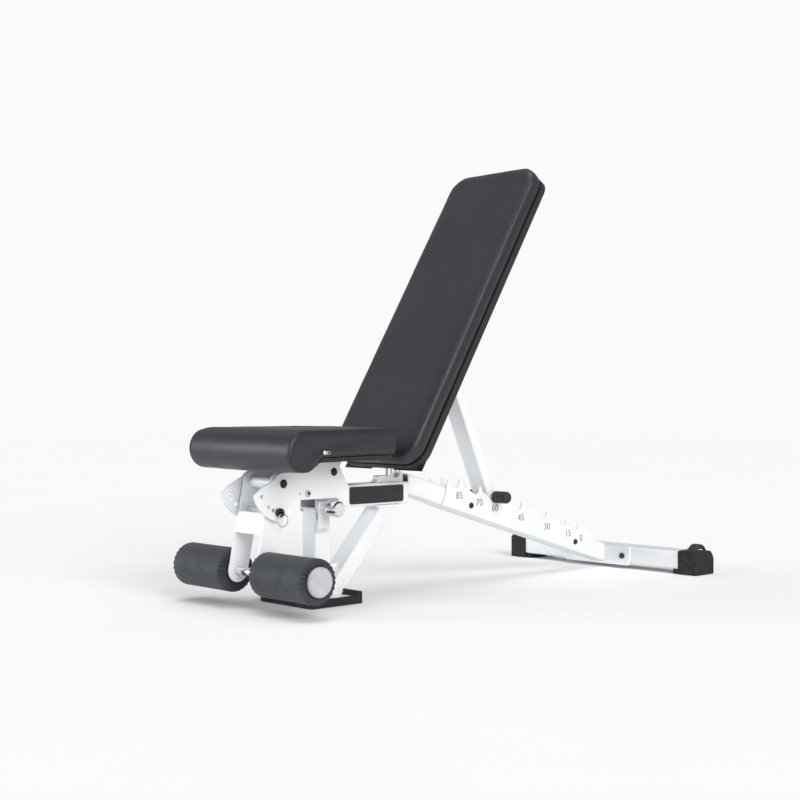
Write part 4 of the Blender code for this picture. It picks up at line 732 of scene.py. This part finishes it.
def make_roller(side, name):
    """Gathered roller cover: a tight tube, with its ends pleated in to the axle."""
    low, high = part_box("foam_roller_" + name)
    centre = (low + high) / 2
    radius = (high.z - low.z) / 2
    near, far = sorted((abs(low.y), abs(high.y)))
    face_reach = radius - RIM_ROUND - AXLE_REACH
    profile = []
    for i in range(FACE_STEPS + 1):
        share = i / FACE_STEPS
        profile.append((near + FACE_IN + FACE_DISH * (1.0 - share), AXLE_REACH + face_reach * share, 1.0))
    profile += rim(near + FACE_IN, radius, 1.0)
    for i in range(1, TUBE_STEPS):
        share = i / TUBE_STEPS
        profile.append((near + TUBE_FROM + (far - near - 2.0 * TUBE_FROM) * share,
                        radius - TUBE_WAIST * math.sin(math.pi * share), 0.0))
    profile += list(reversed(rim(far - FACE_IN, radius, -1.0)))
    for i in range(1, FACE_STEPS + 1):
        share = i / FACE_STEPS
        profile.append((far - FACE_IN - FACE_DISH * share, radius - RIM_ROUND - face_reach * share, 1.0))
    around = PLEATS * ROLLER_STEPS
    shape = bmesh.new()
    rings = []
    for along, reach, pleat in profile:
        ring = []
        for k in range(around):
            turn = 2.0 * math.pi * k / around
            across, up = math.cos(turn), math.sin(turn)
            patch = Vector((across * PLEAT_PATCHES, up * PLEAT_PATCHES, side * EVEN_SEED))
            uneven = PLEAT_EVEN + PLEAT_CHANGE * noise.noise(patch)
            phase = PLEATS * turn + PLEAT_DRIFT * noise.noise(Vector((across, up, side * DRIFT_SEED)))
            fold = abs(math.sin(phase / 2.0)) - 0.5
            depth = (fold - 0.5) * PLEAT_DEPTH * pleat * uneven
            inward = 1.0 if along > (near + far) / 2 else -1.0
            y = side * (along + inward * depth)
            r = min(reach - (0.5 - fold) * PLEAT_SINK * pleat, radius)
            ring.append(shape.verts.new((centre.x + r * across, y, centre.z + r * up)))
        rings.append(ring)
    rings.append(rings[0])
    for here, there in zip(rings, rings[1:]):
        for k in range(around):
            shape.faces.new((here[k], here[(k + 1) % around], there[(k + 1) % around], there[k]))
    bmesh.ops.recalc_face_normals(shape, faces=list(shape.faces))
    mesh = bpy.data.meshes.new("roller_sleeve_" + name)
    shape.to_mesh(mesh)
    shape.free()
    piece = new_piece("roller_sleeve_" + name, mesh, COVER, "roller_" + name)
    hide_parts("foam_roller_" + name)
    make_cap_ring(side, name)


CAP_RIM_INSET = 0.0032
CAP_RIM_WIRE = 0.0007
CAP_BOSS_REACH = 0.0072
CAP_BOSS_WIRE = 0.0006
CAP_SINK = 0.0001
CAP_POINTS = 64


def make_cap_ring(side, name):
    """Raised rim and centre boss moulded on the roller cap's face."""
    low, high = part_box("roller_cap_" + name)
    centre = (low + high) / 2
    face = max(abs(low.y), abs(high.y))
    radius = (high.z - low.z) / 2
    shape = bmesh.new()
    for reach, wire in ((radius - CAP_RIM_INSET, CAP_RIM_WIRE), (CAP_BOSS_REACH, CAP_BOSS_WIRE)):
        loop = []
        for k in range(CAP_POINTS):
            turn = 2.0 * math.pi * k / CAP_POINTS
            loop.append(Vector((centre.x + reach * math.cos(turn), side * (face - CAP_SINK),
                                centre.z + reach * math.sin(turn))))
        add_tube(shape, loop, wire, True, WELT_SIDES)
    mesh = bpy.data.meshes.new("roller_cap_rim_" + name)
    shape.to_mesh(mesh)
    shape.free()
    new_piece("roller_cap_rim_" + name, mesh, LOOKS["cap_plastic"], "roller_" + name)


# ------------------------------------------------------------- markings and sockets
NUMERALS = (("85", 0.4898, 0.2360), ("70", 0.5656, 0.2138), ("60", 0.6259, 0.1959), ("45", 0.7300, 0.1644),
            ("30", 0.8381, 0.1330), ("15", 0.9285, 0.1075), ("0", 0.9859, 0.0908))
NUMERAL_SIZE = 0.0262
NUMERAL_SHIFT = -0.0050
NUMERAL_LIFT = 0.00015
NUMERAL_DEPTH = 0.0001


def make_numerals():
    """The angle numerals below the notches, on the outer face of both ladder plates."""
    low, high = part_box("ladder_plate_left")
    face = max(abs(low.y), abs(high.y)) + NUMERAL_LIFT
    for side, name in SIDES:
        along = Vector((-side, 0.0, 0.0))
        up = Vector((0.0, 0.0, 1.0))
        out = Vector((0.0, side, 0.0))
        for text, x, z in NUMERALS:
            curve = bpy.data.curves.new("numeral", "FONT")
            curve.body = text
            curve.size = NUMERAL_SIZE
            curve.align_x = "CENTER"
            curve.align_y = "CENTER"
            curve.extrude = NUMERAL_DEPTH
            curve.resolution_u = 4
            item = bpy.data.objects.new("numeral", curve)
            bpy.context.collection.objects.link(item)
            item.matrix_world = (Matrix.Translation((x + NUMERAL_SHIFT, side * face, z))
                                 @ Matrix((along, up, out)).transposed().to_4x4())
            bpy.context.view_layer.update()
            mesh = baked(item)
            bpy.data.objects.remove(item)
            new_piece("numeral_%s_%s" % (text, name), mesh, INK, "frame", False)


SOCKETS = (("arm_pivot_bolt", "frame", 0.0042), ("seat_pivot_bolt", "frame", 0.0042),
           ("carrier_bolt", "frame", 0.0038), ("ladder_bolt_front", "frame", 0.0036),
           ("ladder_bolt_rear", "frame", 0.0036), ("back_hinge_pin", "frame", 0.0040),
           ("strut_pivot_pin", "back", 0.0040))
SOCKET_RINGS = ((1.15, 0.00002), (1.0, 0.00025), (0.86, 0.00025), (0.80, 0.00004))
SOCKET_TURN = 0.3


def make_sockets():
    """Hexagon sockets in the ends of the cross bolts, coloured near black as painted shade."""
    for node, body, reach in SOCKETS:
        low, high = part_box(node)
        centre = (low + high) / 2
        for side, name in SIDES:
            face = high.y if side > 0 else low.y
            points = []
            for k in range(6):
                turn = math.pi / 3.0 * k + SOCKET_TURN
                points.append((reach * math.cos(turn), reach * math.sin(turn)))
            shape = bmesh.new()
            loops = []
            for scale, lift in SOCKET_RINGS:
                y = face + side * lift
                loops.append([shape.verts.new((centre.x + x * scale, y, centre.z + z * scale))
                              for x, z in points])
            for here, there in zip(loops, loops[1:]):
                for k in range(6):
                    shape.faces.new((here[k], here[(k + 1) % 6], there[(k + 1) % 6], there[k]))
            shape.faces.new(loops[-1])
            shape.faces.new(loops[0])
            bmesh.ops.recalc_face_normals(shape, faces=list(shape.faces))
            mesh = bpy.data.meshes.new("socket")
            shape.to_mesh(mesh)
            shape.free()
            new_piece("%s_socket_%s" % (node, name), mesh, DARK, body, False)


# -------------------------------------------------------------------------- stage
FLOOR_REACH = 14.0
FLOOR_DARK = (0.925, 0.925, 0.93)
FLOOR_LIGHT = (0.935, 0.935, 0.94)
SKY_COLOUR = (0.97, 0.985, 1.0, 1.0)
SKY_STRENGTH = 0.33
WALL_COLOUR = (0.955, 0.957, 0.972, 1.0)
WALL_STRENGTH = 1.0


def make_stage():
    """Pale floor, soft sky behind a brighter backdrop, and three broad soft suns."""
    scene = bpy.context.scene
    scene.view_settings.view_transform = "Standard"
    mesh = bpy.data.meshes.new("floor")
    reach = FLOOR_REACH
    mesh.from_pydata([(-reach, -reach, 0.0), (reach, -reach, 0.0), (reach, reach, 0.0), (-reach, reach, 0.0)],
                     [], [(0, 1, 2, 3)])
    floor = bpy.data.objects.new("floor", mesh)
    bpy.context.collection.objects.link(floor)
    look = Look("pale_floor")
    look.colour(look.ramp(look.noise(scale=2.0, detail=2.0),
                          low=FLOOR_DARK, high=FLOOR_LIGHT))
    look.roughness(look.span(look.noise(scale=12.0, detail=2.0), low=0.90, high=0.98))
    mesh.materials.append(look.material)
    world = bpy.data.worlds.new("studio")
    scene.world = world
    world.use_nodes = True
    tree = world.node_tree
    sky = tree.nodes["Background"]
    sky.inputs["Color"].default_value = SKY_COLOUR
    sky.inputs["Strength"].default_value = SKY_STRENGTH
    wall = tree.nodes.new("ShaderNodeBackground")
    wall.inputs["Color"].default_value = WALL_COLOUR
    wall.inputs["Strength"].default_value = WALL_STRENGTH
    path = tree.nodes.new("ShaderNodeLightPath")
    mix = tree.nodes.new("ShaderNodeMixShader")
    tree.links.new(path.outputs["Is Camera Ray"], mix.inputs["Fac"])
    tree.links.new(sky.outputs["Background"], mix.inputs[1])
    tree.links.new(wall.outputs["Background"], mix.inputs[2])
    tree.links.new(mix.outputs["Shader"], tree.nodes["World Output"].inputs["Surface"])
    add_sun("key", towards=(-0.22, -0.90, 0.42), strength=2.15, spread=36.0, tint=(1.0, 0.995, 0.985))
    add_sun("side", towards=(-0.75, 0.62, 0.16), strength=1.55, spread=32.0, tint=(0.90, 0.95, 1.0))
    add_sun("top", towards=(0.0, -0.05, 1.0), strength=1.15, spread=42.0, tint=(1.0, 1.0, 1.0))


def add_sun(name, towards, strength, spread, tint):
    """A sun that shines from the direction towards, spread over an angle in degrees."""
    light = bpy.data.lights.new(name, "SUN")
    light.energy = strength
    light.angle = math.radians(spread)
    light.color = tint
    item = bpy.data.objects.new(name, light)
    bpy.context.collection.objects.link(item)
    item.rotation_mode = "QUATERNION"
    item.rotation_quaternion = Vector(towards).to_track_quat("Z", "Y")


CAMERA_SPOT = Vector((-2.1226, -2.60967, 0.48705))
CAMERA_AZIMUTH = math.radians(-42.93)
CAMERA_LENS = 62.775
CAMERA_SENSOR = 36.0
CAMERA_CLIP = 50.0


def make_camera():
    """A level camera on the near side of the roller end, matched to the photograph."""
    data = bpy.data.cameras.new("camera")
    data.lens = CAMERA_LENS
    data.sensor_width = CAMERA_SENSOR
    data.clip_end = CAMERA_CLIP
    item = bpy.data.objects.new("camera", data)
    bpy.context.collection.objects.link(item)
    right = Vector((math.cos(CAMERA_AZIMUTH), math.sin(CAMERA_AZIMUTH), 0.0))
    behind = Vector((math.sin(CAMERA_AZIMUTH), -math.cos(CAMERA_AZIMUTH), 0.0))
    turn = Matrix((right, Vector((0.0, 0.0, 1.0)), behind)).transposed()
    item.matrix_world = Matrix.Translation(CAMERA_SPOT) @ turn.to_4x4()
    bpy.context.scene.camera = item


make_stage()
make_camera()
seat_cushion, back_cushion = make_cushions()
make_seat_trim(seat_cushion)
make_back_trim(back_cushion)
for roller_side, roller_name in SIDES:
    make_roller(roller_side, roller_name)
make_numerals()
make_sockets()
